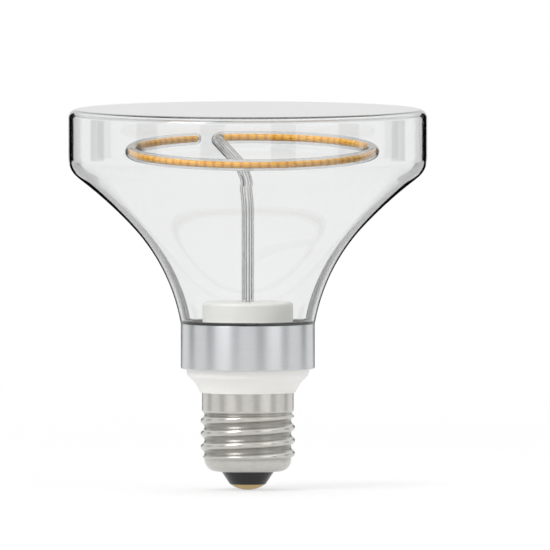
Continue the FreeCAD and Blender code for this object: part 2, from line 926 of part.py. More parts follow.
def make_cap_insulator():
    """The black glass foot: a cone outside the shell, and a plate that fills its lip."""
    foot_radius = size.insulator_foot_width / 2
    waist = lip_hole_radius - size.clearance
    wall = size.thread_root_width / 2
    inset = size.shell_sheet + size.clearance
    floor = shell_base + inset
    hole = size.wire_hole / 2
    recess = size.contact_shank_width / 2 + size.clearance
    recess_top = size.contact_height + size.contact_shank_length + size.clearance
    return turned("cap_insulator", [
        (hole, recess_top),
        (recess, recess_top),
        (recess, size.contact_height),
        (foot_radius, size.contact_height),
        (waist, shell_base),
        (waist, floor),
        (wall - size.lip_bend, floor),
        (wall - inset, size.thread_base, size.lip_bend - inset),
        (wall - inset, insulator_top),
        (hole, insulator_top),
    ])


def make_centre_contact():
    """The domed contact, with a hollow shank in which the live wire is soldered."""
    radius = size.contact_width / 2
    dome = (radius * radius + size.contact_height * size.contact_height) / (size.contact_height * 2)
    shank = size.contact_shank_width / 2
    shank_top = size.contact_height + size.contact_shank_length
    bore = size.live_wire_width / 2 + size.clearance
    return turned("centre_contact", [
        (ZERO, ZERO),
        (radius, size.contact_height, dome),
        (shank, size.contact_height),
        (shank, shank_top),
        (bore, shank_top),
        (bore, contact_seat),
        (ZERO, contact_seat),
    ])


def block(name, length, depth, height, along_x, along_y, along_z):
    """A box from its three sizes and its lowest corner."""
    item = document.addObject("Part::Box", name)
    bound(item, Length=length, Width=depth, Height=height)
    return placed(item, along_x, along_y, along_z)


def grouped(name, items):
    """Separate solids of one kind, kept together in one piece."""
    group = document.addObject("Part::Compound", name)
    group.Links = items
    return group


def front_pin(name, along_x, along_y, up):
    """A square pin that runs from a part in front of the board back into the board's face."""
    half = size.pin_width / 2
    return block(
        name, size.pin_width, size.board_front - along_y, size.pin_width,
        along_x - half, along_y, up - half,
    )


def make_driver_board():
    return block(
        "driver_board", size.board_width, size.board_thickness, size.board_length,
        minus(size.board_width / 2), size.board_front, board_base,
    )


def make_smoothing_capacitor():
    """A can that stands along the board, with a crimped foot and two bent pins."""
    radius = size.can_width / 2
    crimp = radius * 0.94
    can = turned("capacitor_can", [
        (ZERO, ZERO),
        (radius, ZERO),
        (radius, size.can_length * 0.12),
        (crimp, size.can_length * 0.15),
        (radius, size.can_length * 0.18),
        (radius, size.can_length),
        (ZERO, size.can_length),
    ])
    middle = size.board_front - size.clearance - radius
    foot = board_base + size.can_lift
    placed(can, minus(size.can_left), middle, foot)
    parts = [can]
    for side, mark in ((-1.0, "minus"), (1.0, "plus")):
        along_x = size.can_pin_spread / 2 * side - size.can_left
        drop = size.pin_width * 2
        parts.append(block(
            f"can_pin_{mark}", size.pin_width, size.pin_width, drop,
            along_x - size.pin_width / 2, middle, foot - drop,
        ))
        parts.append(front_pin(f"can_foot_{mark}", along_x, middle, foot - drop + size.pin_width / 2))
    return fused("smoothing_capacitor", parts)


def make_input_capacitor():
    """A boxed film capacitor on the front of the board, with two pins."""
    front = size.board_front - size.clearance - size.film_depth
    foot = board_base + size.film_lift
    case = block(
        "film_case", size.film_width, size.film_depth, size.film_length,
        size.film_right, front, foot,
    )
    document.recompute()
    rounding = size.film_round.number
    rounded = document.addObject("Part::Fillet", "film_rounded")
    rounded.Base = case
    rounded.Edges = [
        (index, rounding, rounding)
        for index, edge in enumerate(case.Shape.Edges, start=1)
        if edge.BoundBox.ZLength > size.film_depth.number
    ]
    middle = size.film_right + size.film_width / 2
    pins = [
        front_pin(f"film_pin_{mark}", middle, front + size.film_depth - size.clearance, height)
        for mark, height in (
            ("low", foot + size.film_length * 0.2),
            ("high", foot + size.film_length * 0.8),
        )
    ]
    return fused("input_capacitor", [rounded] + pins)


def choke_place(body):
    middle = size.board_front - size.clearance - size.choke_width / 2
    return placed(body, minus(size.choke_left), middle, board_base + size.choke_lift)


def make_choke_core():
    """The drum core of the choke: two flanges on a spindle."""
    flange = size.choke_width / 2
    spindle = size.choke_spindle_width / 2
    top = size.choke_length
    return choke_place(turned("choke_core", [
        (ZERO, ZERO),
        (flange, ZERO),
        (flange, size.choke_flange),
        (spindle, size.choke_flange),
        (spindle, top - size.choke_flange),
        (flange, top - size.choke_flange),
        (flange, top),
        (ZERO, top),
    ]))


def make_choke_winding():
    """The coil of enamelled wire that fills the drum."""
    inside = size.choke_spindle_width / 2 + size.close_fit
    outside = size.winding_width / 2
    low = size.choke_flange + size.close_fit
    high = size.choke_length - size.choke_flange - size.close_fit
    return choke_place(turned("choke_winding", [
        (inside, low),
        (outside, low),
        (outside, high),
        (inside, high),
    ]))


fuse_middle = size.board_front - size.clearance - size.fuse_width / 2
fuse_base = board_base + size.fuse_lift
lead_end = fuse_base - size.fuse_lead


def make_fusible_resistor():
    """A dumbbell-shaped resistor on end, one lead down to the live wire and one to the board."""
    radius = size.fuse_width / 2
    neck = size.fuse_neck_width / 2
    wire = size.pin_width / 2
    length = size.fuse_length
    body = turned("resistor_body", [
        (ZERO, minus(size.fuse_lead)),
        (wire, minus(size.fuse_lead)),
        (wire, ZERO),
        (neck, ZERO),
        (radius, length * 0.08),
        (radius, length * 0.22),
        (neck, length * 0.3),
        (neck, length * 0.7),
        (radius, length * 0.78),
        (radius, length * 0.92),
        (neck, length),
        (wire, length),
        (wire, length + size.pin_width * 2),
        (ZERO, length + size.pin_width * 2),
    ])
    placed(body, size.fuse_right, fuse_middle, fuse_base)
    top_pin = front_pin(
        "resistor_top_lead", size.fuse_right, fuse_middle, fuse_base + length + size.pin_width * 1.5
    )
    return fused("fusible_resistor", [body, top_pin])


def make_bridge_rectifier():
    """A flat case on the back of the board with four legs."""
    foot = board_base + size.bridge_lift
    parts = [block(
        "bridge_case", size.bridge_width, size.bridge_depth, size.bridge_length,
        minus(size.bridge_width / 2), board_back + size.leg_lift, foot,
    )]
    length = size.bridge_length + size.leg_reach * 2
    for side, mark in ((-1.0, "left"), (1.0, "right")):
        parts.append(block(
            f"bridge_legs_{mark}", size.pin_width, size.bridge_depth / 2, length,
            size.bridge_leg_spread / 2 * side - size.pin_width / 2, board_back, foot - size.leg_reach,
        ))
    return fused("bridge_rectifier", parts)


def make_driver_chip():
    """The control chip on the back of the board: a flat case with four legs a side."""
    foot = board_base + size.chip_case_lift
    parts = [block(
        "chip_case", size.chip_case_width, size.chip_case_depth, size.chip_case_length,
        minus(size.chip_case_width / 2), board_back + size.leg_lift / 2, foot,
    )]
    across = size.chip_case_width + size.leg_reach * 2
    middle = foot + size.chip_case_length / 2
    for step in (-1.5, -0.5, 0.5, 1.5):
        parts.append(block(
            f"chip_legs_{len(parts)}", across, size.chip_case_depth / 2, size.chip_leg_width,
            minus(across / 2), board_back,
            middle + size.chip_leg_pitch * step - size.chip_leg_width / 2,
        ))
    return fused("driver_chip", parts)


def make_chip_resistors():
    """Six small flat resistors in two columns on the back of the board."""
    items = []
    for side in (-1.0, 1.0):
        for row in (0.0, 1.0, 2.0):
            items.append(block(
                f"resistor_{len(items) + 1}",
                size.resistor_length, size.resistor_depth, size.resistor_width,
                size.resistor_side * side - size.resistor_length / 2, board_back,
                board_base + size.resistor_lift + size.resistor_pitch * row,
            ))
    return grouped("chip_resistors", items)


def make_output_terminal():
    """The block at the top of the board on which the two leads of the filament end."""
    return block(
        "output_terminal", size.terminal_width, size.terminal_depth, size.terminal_height,
        minus(size.terminal_width / 2), size.board_front - size.terminal_depth,
        terminal_top - size.terminal_height,
    )


def make_live_wire():
    """The insulated wire from the centre contact up to the fusible resistor."""
    side = size.fuse_right.number
    depth = fuse_middle.number
    top = lead_end.number
    bend = size.live_wire_bend.number
    low_corner = insulator_top.number + size.live_wire_width.number
    points = [
        Vector(0, 0, contact_seat.number),
        Vector(0, 0, low_corner),
        Vector(side, depth, top - bend),
        Vector(side, depth, top),
    ]
    line = path("live_wire_line", bent_edges(points, [bend, bend]))
    return pipe("live_wire", line, size.live_wire_width / 2)


def make_neutral_wire():
    """The bare wire from the board, under the spigot's end, out to the shell."""
    radius = size.neutral_wire_width / 2
    depth = size.board_front - radius
    height = size.spigot_base - radius - size.clearance
    reach = size.thread_root_width / 2 - size.shell_sheet - size.clearance
    corner = Vector(-size.neutral_wire_left.number, depth.number, height.number)
    points = [
        corner + Vector(0, 0, (board_base - height + size.neutral_wire_rise).number),
        corner,
        Vector(-reach.number, depth.number, height.number),
    ]
    line = path("neutral_wire_line", bent_edges(points, [size.neutral_wire_bend.number]))
    return pipe("neutral_wire", line, radius)


def make_all():
    """Every piece of the bulb, in the order in which it is put together."""
    route = Route()
    strip = make_filament_strip()
    chips = make_led_chips()
    return [
        make_centre_contact(),
        make_cap_insulator(),
        make_screw_shell(),
        make_driver_housing(),
        make_driver_board(),
        make_bridge_rectifier(),
        make_driver_chip(),
        make_chip_resistors(),
        make_smoothing_capacitor(),
        make_input_capacitor(),
        make_choke_core(),
        make_choke_winding(),
        make_fusible_resistor(),
        make_output_terminal(),
        make_live_wire(),
        make_neutral_wire(),
        make_tube_seat(),
        make_tube_grommet(),
        make_light_tube(route),
        make_phosphor_coat(strip, chips),
        strip,
        chips,
        make_filament_terminals(route),
        make_lead(route, "lead_feed", -1),
        make_lead(route, "lead_return", 1),
        make_neck_cement(),
        make_collar(),
        make_glass_envelope(),
    ]


def check(pieces):
    """Stops the script if any object failed or any piece is not a sound solid."""
    for item in document.Objects:
        for fault in ("Invalid", "Error"):
            if fault in item.State:
                raise RuntimeError(f"{item.Name} is {fault}")
        if item.TypeId == "Sketcher::SketchObject" and not item.FullyConstrained:
            raise RuntimeError(f"{item.Name} is not fully held")
    for piece in pieces:
        if piece.Shape.isNull() or not piece.Shape.isValid() or not piece.Shape.Solids:
            raise RuntimeError(f"{piece.Name} is not a sound solid")


pieces = make_all()
document.recompute()
check(pieces)
os.makedirs("parts", exist_ok=True)
for piece in pieces:
    piece.Label = piece.Name
    piece.Shape.exportStep(f"parts/{piece.Label}.step")
    print(f"{piece.Label}: {len(piece.Shape.Solids)} solid, {piece.Shape.Volume:.1f} cubic mm")
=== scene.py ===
"""The looks of a led filament bulb: blown glass, light tube, filament, housing and screw cap.

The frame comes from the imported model. Lengths are in metres, and the bulb's axis is Z,
with the tip of the centre contact at the origin and the flat front of the glass on top.
"""

import math

import bpy
import numpy as np
from bpy.props import FloatProperty, FloatVectorProperty, PointerProperty
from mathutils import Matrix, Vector


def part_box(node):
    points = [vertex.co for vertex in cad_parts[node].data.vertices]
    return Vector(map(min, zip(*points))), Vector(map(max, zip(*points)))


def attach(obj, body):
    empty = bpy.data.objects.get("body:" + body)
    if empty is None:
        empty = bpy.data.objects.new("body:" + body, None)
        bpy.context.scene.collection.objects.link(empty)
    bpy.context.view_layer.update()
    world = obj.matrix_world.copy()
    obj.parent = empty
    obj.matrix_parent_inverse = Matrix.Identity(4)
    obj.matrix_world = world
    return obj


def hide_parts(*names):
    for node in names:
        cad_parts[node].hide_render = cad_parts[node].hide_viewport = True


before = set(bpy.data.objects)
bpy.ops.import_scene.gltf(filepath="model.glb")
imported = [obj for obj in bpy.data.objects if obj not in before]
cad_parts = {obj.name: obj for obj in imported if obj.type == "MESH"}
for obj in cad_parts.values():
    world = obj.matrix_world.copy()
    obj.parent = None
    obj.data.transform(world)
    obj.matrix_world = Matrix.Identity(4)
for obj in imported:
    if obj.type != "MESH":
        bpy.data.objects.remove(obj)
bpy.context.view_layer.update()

bl_info = {
    "name": "Led Filament Bulb",
    "version": (1, 0, 0),
    "blender": (4, 5, 0),
    "location": "3D View > Sidebar > Bulb",
    "description": "Makes the visible pieces and the finishes of a led filament bulb round its frame",
    "category": "Object",
}

MM = 0.001
AXIS = np.array([0.0, 0.0, 1.0])

# How finely the pieces are made
AROUND = 192  # faces round each turned piece
GLASS_STEP = 0.5 * MM  # from ring to ring up the glass wall
LONGEST_FACE = 2.5 * MM  # on the straight runs of the glass
THREAD_ROWS = 170  # up the outside of the shell
BORE_ROWS = 60  # up the inside of the shell
CAP_ROWS = 10  # over the round end of the tube or the filament
CORNER_STEP = 9  # degrees from point to point round an outline's corner
SHARP_EDGE = math.radians(35)  # faces that meet at more than this keep their edge

# The stage: each lamp's place, side and power in watts, and the point where all of them aim
TABLE_REACH = 8.0
AIM = Vector((0.0, 0.0, 0.055))
LAMPS = {
    "key_lamp": ((-0.75, -0.8, 0.95), 0.6, 8.0),
    "fill_lamp": ((0.95, -0.6, 0.5), 0.9, 1.5),
    "top_lamp": ((0.1, 0.5, 1.3), 0.9, 4.0),
}

# The dark cards that stand round the table, and the dark cloths that lie on it behind the bulb:
# each cloth's reaches from the bulb, and its angles from straight behind it, on both sides
CARD_COUNT = 8
CARD_AWAY = 1.1
CARD_WIDTH = 0.3
CARD_HEIGHT = 0.33
CLOTH_HEIGHT = 1 * MM
CLOTHS = {"near_cloth": ((0.265, 0.42), (12, 20.5)), "far_cloth": ((0.42, 1.1), (7, 23))}

# The photograph's frame, where the bulb stands in it, in pixels, and the camera
PHOTO_SIDE = 550
PHOTO_AXIS_X = 247.8
PHOTO_TOP_Y = 109.0
PHOTO_FOOT_Y = 490.0
VIEW_RISE = math.radians(2.7)
CAMERA_AWAY = 0.6


def linear(colour):
    """An sRGB hex colour as the linear red, green and blue that the shaders take."""
    shares = np.array(list(bytes.fromhex(colour))) / 255
    return tuple(np.where(shares <= 0.04045, shares / 12.92, ((shares + 0.055) / 1.055) ** 2.4).tolist())


def length(name, description, default):
    """A length that the user can change, given here in millimetres."""
    return FloatProperty(
        name=name, description=description, default=default * MM, min=0.0, unit="LENGTH", precision=5
    )


def angle(name, description, default):
    """An angle that the user can change, given here in degrees."""
    default = math.radians(default)
    return FloatProperty(name=name, description=description, default=default, subtype="ANGLE")


def colour(name, description, default):
    """A colour that the user can change, given here as sRGB hex."""
    default = linear(default)
    return FloatVectorProperty(name=name, description=description, default=default, subtype="COLOR", size=3)


class BulbGlassSizes(bpy.types.PropertyGroup):
    """The blown glass, beside what the frame's own boxes say."""

    wall: length("Wall", "Thickness of the blown glass", 0.9)
    neck_step: length("Neck step", "How far the neck is set in under the collar", 1.2)
    cone_height: length("Cone height", "Height of the short cone that leaves the collar", 2.0)
    cone_spread: length("Cone spread", "How much the short cone widens", 0.43)
    joint_radius: length("Joint radius", "Radius where the two bends of the flare meet", 32.0)
    joint_depth: length("Joint depth", "Depth of that place below the flat front", 32.85)
    upper_bend: length("Upper bend", "Radius of the upper bend of the flare", 116.0)
    corner_round: length("Corner round", "Radius between the flare and the straight side", 6.5)
    rim_round: length("Rim round", "Radius between the side and the flat front", 2.4)
    bend_ease: length("Bend ease", "Length over which the glass goes from one bend into the next", 5.0)


class BulbTubeSizes(bpy.types.PropertyGroup):
    """The bent light tube and the filament in it."""

    radius: length("Tube radius", "Outer radius of the light tube", 1.7)
    wall: length("Tube wall", "Wall of the light tube", 0.5)
    socket_depth: length("Socket depth", "How deep the tube stands in its seat", 3.9)
    stem_corner: length("Stem corner", "Depth of the stem's corner below the ring", 6.0)
    stem_bend: length("Stem bend", "Radius of the bend at the stem's corner", 14.0)
    hook_setback: length("Hook setback", "Length that the hook takes from the ring's start", 2.69)
    ring_offset: length("Ring offset", "How far the ring's middle lies beside the axis", 1.2)
    ring_depth: length("Ring depth", "Depth of the ring's middle below the flat front", 11.7)
    ring_radius: length("Ring radius", "Radius of the ring's centreline", 33.7)
    ring_tilt: angle("Ring tilt", "Tilt of the ring, its back up", 4.0)
    ring_start: angle("Ring start", "Angle at which the ring leaves the hook", 103.1)
    ring_gap: angle("Ring gap", "Angle between the hook and the tube's closed end", 15.1)
    filament_radius: length("Filament radius", "Radius of the filament's coat", 0.95)
    chip_pitch: length("Chip pitch", "Spacing of the light chips along the strip", 2.5)


class BulbBodySizes(bpy.types.PropertyGroup):
    """The moulded housing, the tube's seat and the drawn collar."""

    housing_wall: length("Housing wall", "Wall of the housing", 1.4)
    spigot_wall: length("Spigot wall", "Wall of the spigot in the cap", 1.2)
    spigot_gap: length("Spigot gap", "Gap between the spigot and the cap's shell", 0.25)
    ledge: length("Ledge", "Width and height of the ledge that carries the board", 1.1)
    barrel_gap: length("Barrel gap", "Gap between the housing's barrel and the glass neck", 0.35)
    edge_round: length("Edge round", "Radius of the moulded parts' outer edges", 0.25)
    seat_edge: length("Seat edge", "Radius of the seat's top edge", 1.0)
    seat_rim: length("Seat rim", "How far the seat reaches over its plug", 0.8)
    seat_plate: length("Seat plate", "Thickness of the seat's top", 1.5)
    plug_depth: length("Plug depth", "How deep the seat plugs into the housing", 1.6)
    skirt_wall: length("Skirt wall", "Wall of the seat's skirt", 1.2)
    boss_radius: length("Boss radius", "Radius of the boss that holds the tube", 3.6)
    socket_radius: length("Socket radius", "Radius of the boss's socket", 2.1)
    socket_floor: length("Socket floor", "Thickness of the floor under the tube", 1.2)
    lead_hole: length("Lead hole", "Radius of the hole for the leads", 1.0)
    waist_step: length("Waist step", "How far the housing is set in under the collar", 1.45)
    taper_edge_step: length("Taper edge step", "How far the taper's edge is set in from the waist", 0.5)
    taper_edge_drop: length("Taper edge drop", "Depth of the taper's edge below the collar", 2.1)
    taper_edge_round: length("Taper edge round", "Radius of the taper's edge", 1.0)
    taper_bend: length("Taper bend", "Radius of the hollow bend under that edge", 9.4)
    taper_foot: length("Taper foot", "Radius of the housing where it meets the cap", 13.35)
    shoulder_height: length("Shoulder height", "Height of the shoulder inside the collar", 4.0)
    clearance: length("Clearance", "Clearance between parts that are put together", 0.1)
    collar_wall: length("Collar wall", "Thickness of the collar's sheet", 0.8)
    collar_edge: length("Collar edge", "Radius of the collar's bent edge", 0.35)


class BulbCapSizes(bpy.types.PropertyGroup):
    """The rolled screw shell and what closes it."""

    sheet: length("Sheet", "Thickness of the shell's sheet", 0.3)
    crest_radius: length("Crest radius", "Radius over the thread's crests", 13.125)
    root_radius: length("Root radius", "Radius over the thread's roots", 12.05)
    band_radius: length("Band radius", "Radius of the plain band above the thread", 12.75)
    pitch: length("Pitch", "Pitch of the thread", 3.629)
    thread_base: length("Thread base", "Height at which the thread begins", 8.4)
    thread_top: length("Thread top", "Height at which the thread ends", 21.6)
    thread_fade: length("Thread fade", "Height over which the thread comes and goes", 1.2)
    lip_bend: length("Lip bend", "Radius of the shell's turned-in lip", 3.2)
    lip_hole: length("Lip hole", "Radius of the hole in the lip", 7.5)
    insulator_foot: length("Insulator foot", "Radius of the insulator at the contact", 5.0)
    insulator_plate: length("Insulator plate", "Thickness of the insulator inside the shell", 3.2)
    contact_height: length("Contact height", "Height of the contact's dome", 1.6)
    contact_shank: length("Contact shank", "Radius of the contact's shank", 1.9)
    wire_hole: length("Wire hole", "Radius of the hole for the live wire", 1.0)


class BulbFinishes(bpy.types.PropertyGroup):
    """The colours of the finishes, as they look in plain light."""

    filament: colour("Filament", "Phosphor in silicone over a chip, unlit", "FFBE2E")
    filament_gap: colour("Filament gap", "Deeper colour of the coat between two chips", "E69612")
    plastic: colour("Plastic", "Moulded housing and seat", "F1F0EC")
    aluminium: colour("Aluminium", "Drawn collar", "CFD1D3")
    nickel: colour("Nickel", "Plating of the screw shell", "D0CEC8")
    black_glass: colour("Black glass", "Moulded insulator of the cap", "0B0B0D")
    brass: colour("Brass", "Centre contact", "CDB27A")
    floor: colour("Floor", "Table and backdrop", "FFFFFF")


def arc(centre, radius, start, end, steps):
    """Points on an arc: the centre plus the radius along the angle, from start to end in degrees."""
    turn = np.radians(np.linspace(start, end, steps + 1))
    return np.column_stack([centre[0] + radius * np.cos(turn), centre[1] + radius * np.sin(turn)])


def bearing(way):
    """The angle of a way in the outline's plane, in degrees."""
    return math.degrees(math.atan2(way[1], way[0]))


def rounded(corners):
    """An outline through (radius, height) corners, with a tangent arc where a third size is given."""
    points = np.array([corner[:2] for corner in corners], float)
    pieces = []
    for index, (here, corner) in enumerate(zip(points, corners)):
        if len(corner) == 2:
            pieces.append(here[None])
            continue
        ways = points[[index - 1, (index + 1) % len(points)]] - here
        back, onward = ways / np.linalg.norm(ways, axis=1)[:, None]
        half = math.acos(np.clip(back @ onward, -1, 1)) / 2
        middle = (back + onward) / np.linalg.norm(back + onward)
        centre = here + middle * corner[2] / math.sin(half)
        setback = corner[2] / math.tan(half)
        start = bearing(here + back * setback - centre)
        sweep = (bearing(here + onward * setback - centre) - start + 180) % 360 - 180
        pieces.append(arc(centre, corner[2], start, start + sweep, max(4, int(abs(sweep) / CORNER_STEP))))
    return np.concatenate(pieces)


def spread(outline):
    """The outline with points added on its long straight runs, in even steps."""
    pieces = []
    for start, end in zip(outline[:-1], outline[1:]):
        steps = max(1, math.ceil(np.linalg.norm(end - start) / LONGEST_FACE))
        pieces.append(start + (end - start) * np.arange(steps)[:, None] / steps)
    return np.concatenate(pieces + [outline[-1:]])


def walked_along(points):
    """The distance along a line of points, up to each of them."""
    return np.concatenate([[0.0], np.cumsum(np.linalg.norm(np.diff(points, axis=0), axis=1))])


def grid_faces(rows, columns, wrapped):
    """Four-cornered faces of a grid whose columns close on themselves, and whose rows do if wrapped."""
    row = np.arange(rows if wrapped else rows - 1)[:, None]
    column = np.arange(columns)
    above = (row + 1) % rows * columns
    beside = (column + 1) % columns
    here = row * columns
    corners = [here + column, here + beside, above + beside, above + column]
    return np.stack(corners, axis=-1).reshape(-1, 4).tolist()


def mesh_piece(name, points, faces):
    """A smooth-shaded mesh object from arrays."""
    mesh = bpy.data.meshes.new(name)
    mesh.from_pydata(points.tolist(), [], faces)
    mesh.shade_smooth()
    mesh.set_sharp_from_angle(angle=SHARP_EDGE)
    mesh.validate()
    piece = bpy.data.objects.new(name, mesh)
    bpy.context.scene.collection.objects.link(piece)
    return piece


def ring_surface(name, centres, first, second, radii, around=AROUND):
    """A skin of rings: a point is its ring's centre plus its radius times (cos a first + sin a second).

    The radii are one for each ring, or one for each ring and step round it. First, second and
    the way from ring to ring are right-handed where the skin faces outwards. Rings whose
    radius is nothing at both ends become single points that close the skin; otherwise the
    last ring joins the first.
    """
    radii = np.asarray(radii).reshape(len(centres), -1, 1)
    step = np.arange(around)
    turn = (step * (2 * math.pi / around))[:, None]
    skin = centres[:, None] + (first[:, None] * np.cos(turn) + second[:, None] * np.sin(turn)) * radii
    if radii[0].max() > 0.0:
        return mesh_piece(name, skin.reshape(-1, 3), grid_faces(len(skin), around, True))
    body = skin[1:-1].reshape(-1, 3)
    onward = (step + 1) % around
    last = len(body) - around
    pole = np.full(around, len(body))
    faces = grid_faces(len(skin) - 2, around, False)
    faces += np.column_stack([pole, onward, step]).tolist()
    faces += np.column_stack([last + step, last + onward, pole + 1]).tolist()
    piece = mesh_piece(name, np.concatenate([body, centres[[0, -1]]]), faces)
    walked = walked_along(centres)
    along = np.concatenate([np.repeat(walked[1:-1], around), walked[[0, -1]]])
    piece.data.attributes.new("along", "FLOAT", "POINT").data.foreach_set("value", along)
    return piece


def turned(name, outline, radii=None):
    """A piece turned about the bulb's axis: at the angle a it is (radius cos a, radius sin a, height).

    The outline runs counter-clockwise, with the material on its left. It starts and ends on
    the axis, or is closed. Radii given apart from it may change from step to step round.
    """
    sides = np.tile([[[1.0, 0.0, 0.0]], [[0.0, 1.0, 0.0]]], (1, len(outline), 1))
    return ring_surface(name, outline[:, 1:] * AXIS, *sides, outline[:, 0] if radii is None else radii)


def turned_about(vector, axis, angles):
    """The vector v turned about the axis by each angle a.

    It is v cos a + (axis x v) sin a + axis (axis . v)(1 - cos a).
    """
    cosine = np.cos(angles)[:, None]
    across = np.cross(axis, vector) * np.sin(angles)[:, None]
    return vector * cosine + across + axis * (vector @ axis) * (1 - cosine)


class Walk:
    """A centreline walked in straight and bent stretches, with a side vector that never twists.

    Each stretch is an array of steps, and a step is its point, its way and its side.
    """

    def __init__(self, start, way, side):
        self.stretches = [np.array([[start, way, side]], float)]

    def straight(self, reach, steps):
        """A straight stretch: the last point plus the way times the distance walked."""
        stretch = np.tile(self.stretches[-1][-1], (steps, 1, 1))
        stretch[:, 0] += stretch[:, 1] * np.linspace(0, reach, steps + 1)[1:, None]
        self.stretches.append(stretch)

    def bent(self, axis, radius, turn, steps):
        """A bend: point, way and side all turned about an axis that stands beside the line."""
        point, way, side = self.stretches[-1][-1]
        centre = point + np.cross(axis, way) * radius
        angles = np.linspace(0, turn, steps + 1)[1:]
        vectors = (point - centre, way, side)
        stretch = np.stack([turned_about(vector, axis, angles) for vector in vectors], axis=1)
        stretch[:, 0] += centre
        self.stretches.append(stretch)

    def lines(self):
        """All points, sides and cross sides, in which a skin of rings can be laid."""
        points, ways, sides = np.concatenate(self.stretches).transpose(1, 0, 2)
        return points, sides, np.cross(ways, sides)


def add_node(tree, kind, inputs=None, **settings):
    """Adds a shader node, sets its properties, and fills its inputs by their names.

    An input takes a plain value, a socket to be linked, or a node whose first output is linked.
    """
    made = tree.nodes.new("ShaderNode" + kind)
    for name, value in settings.items():
        setattr(made, name, value)
    for name, value in (inputs or {}).items():
        if isinstance(value, bpy.types.Node):
            value = next(output for output in value.outputs if output.enabled)
        if isinstance(value, bpy.types.NodeSocket):
            tree.links.new(value, made.inputs[name])
        else:
            made.inputs[name].default_value = value
    return made


def new_finish(name):
    """An empty material, and its node tree."""
    finish = bpy.data.materials.new(name)
    finish.use_nodes = True
    finish.node_tree.nodes.clear()
    return finish, finish.node_tree


def rgba(linear_colour, share=1.0):
    """A colour with full alpha, darkened to the given share."""
    return (*(channel * share for channel in linear_colour[:3]), 1.0)


def grain(tree, size, detail=3.0, stretch=(1.0, 1.0, 1.0)):
    """Noise on the piece's own coordinates, whose blotches are about the given size across."""
    place = add_node(tree, "TexCoord")
    scale = [share / size for share in stretch]
    scaled = add_node(tree, "Mapping", {"Vector": place.outputs["Object"], "Scale": scale})
    return add_node(tree, "TexNoise", {"Vector": scaled, "Scale": 1.0, "Detail": detail})


def brushed_round(tree, amount):
    """What brushing round the bulb's axis gives a metal: highlights that spread along the axis."""
    return {
        "Anisotropic": amount,
        "Anisotropic Rotation": 0.25,
        "Tangent": add_node(tree, "Tangent", direction_type="RADIAL", axis="Z"),
    }


def grained_finish(name, base, dark, rough, depth, marks, cloud=None, brushed=0.0, **shine):
    """A finish whose fine marks set its roughness and its bump, with faint clouds in its colour.

    The marks are the size, detail and stretch of their noise, drawn coarser than the real
    ones so that they show. The colour is darker by up to the share dark, in clouds of their
    own size or else along the marks.
    """
    finish, tree = new_finish(name)
    pattern = grain(tree, *marks)
    gloss = add_node(tree, "MapRange", {"Value": pattern, "To Min": rough[0], "To Max": rough[1]})
    if brushed:
        shine.update(brushed_round(tree, brushed))
    shader = add_node(tree, "BsdfPrincipled", {
        "Base Color": rgba(base),
        "Roughness": gloss,
        "Normal": add_node(tree, "Bump", {"Height": pattern, "Distance": depth, "Strength": 1.0}),
        **shine,
    })
    if dark:
        clouds = grain(tree, cloud, 2.0) if cloud else pattern
        shade = add_node(
            tree, "Mix", {"Factor": clouds, "A": rgba(base), "B": rgba(base, 1 - dark)}, data_type="RGBA"
        )
        tree.links.new(shade.outputs["Result"], shader.inputs["Base Color"])
    add_node(tree, "OutputMaterial", {"Surface": shader})
    return finish


def moulded_polymer(name, base, rough):
    """Injection-moulded plastic: an even colour with the fine grain of a spark-eroded mould."""
    gloss = (rough - 0.06, rough + 0.06)
    return grained_finish(name, base, 0.03, gloss, 0.004 * MM, (0.25 * MM,), 12 * MM, IOR=1.55)


def worked_metal(name, base, rough, size, stretch=(1.0, 1.0, 1.0), depth=0.002 * MM, **shine):
    """Bare or plated metal: reflections broken up by the marks of drawing, rolling or plating."""
    gloss = (rough - 0.05, rough + 0.1)
    return grained_finish(name, base, 0.1, gloss, depth, (size, 4.0, stretch), Metallic=1.0, **shine)


def drawn_aluminium(settings):
    """Drawn aluminium, brushed round the ring: highlights that spread along the axis.

    The fine rings of the brush are 0.2 mm apart, coarser than the real ones, so that they show.
    """
    rings = (0.15, 0.15, 6.0)
    return worked_metal(
        "drawn_aluminium", settings.aluminium, 0.3, 1.2 * MM, rings, 0.006 * MM, brushed=0.75
    )


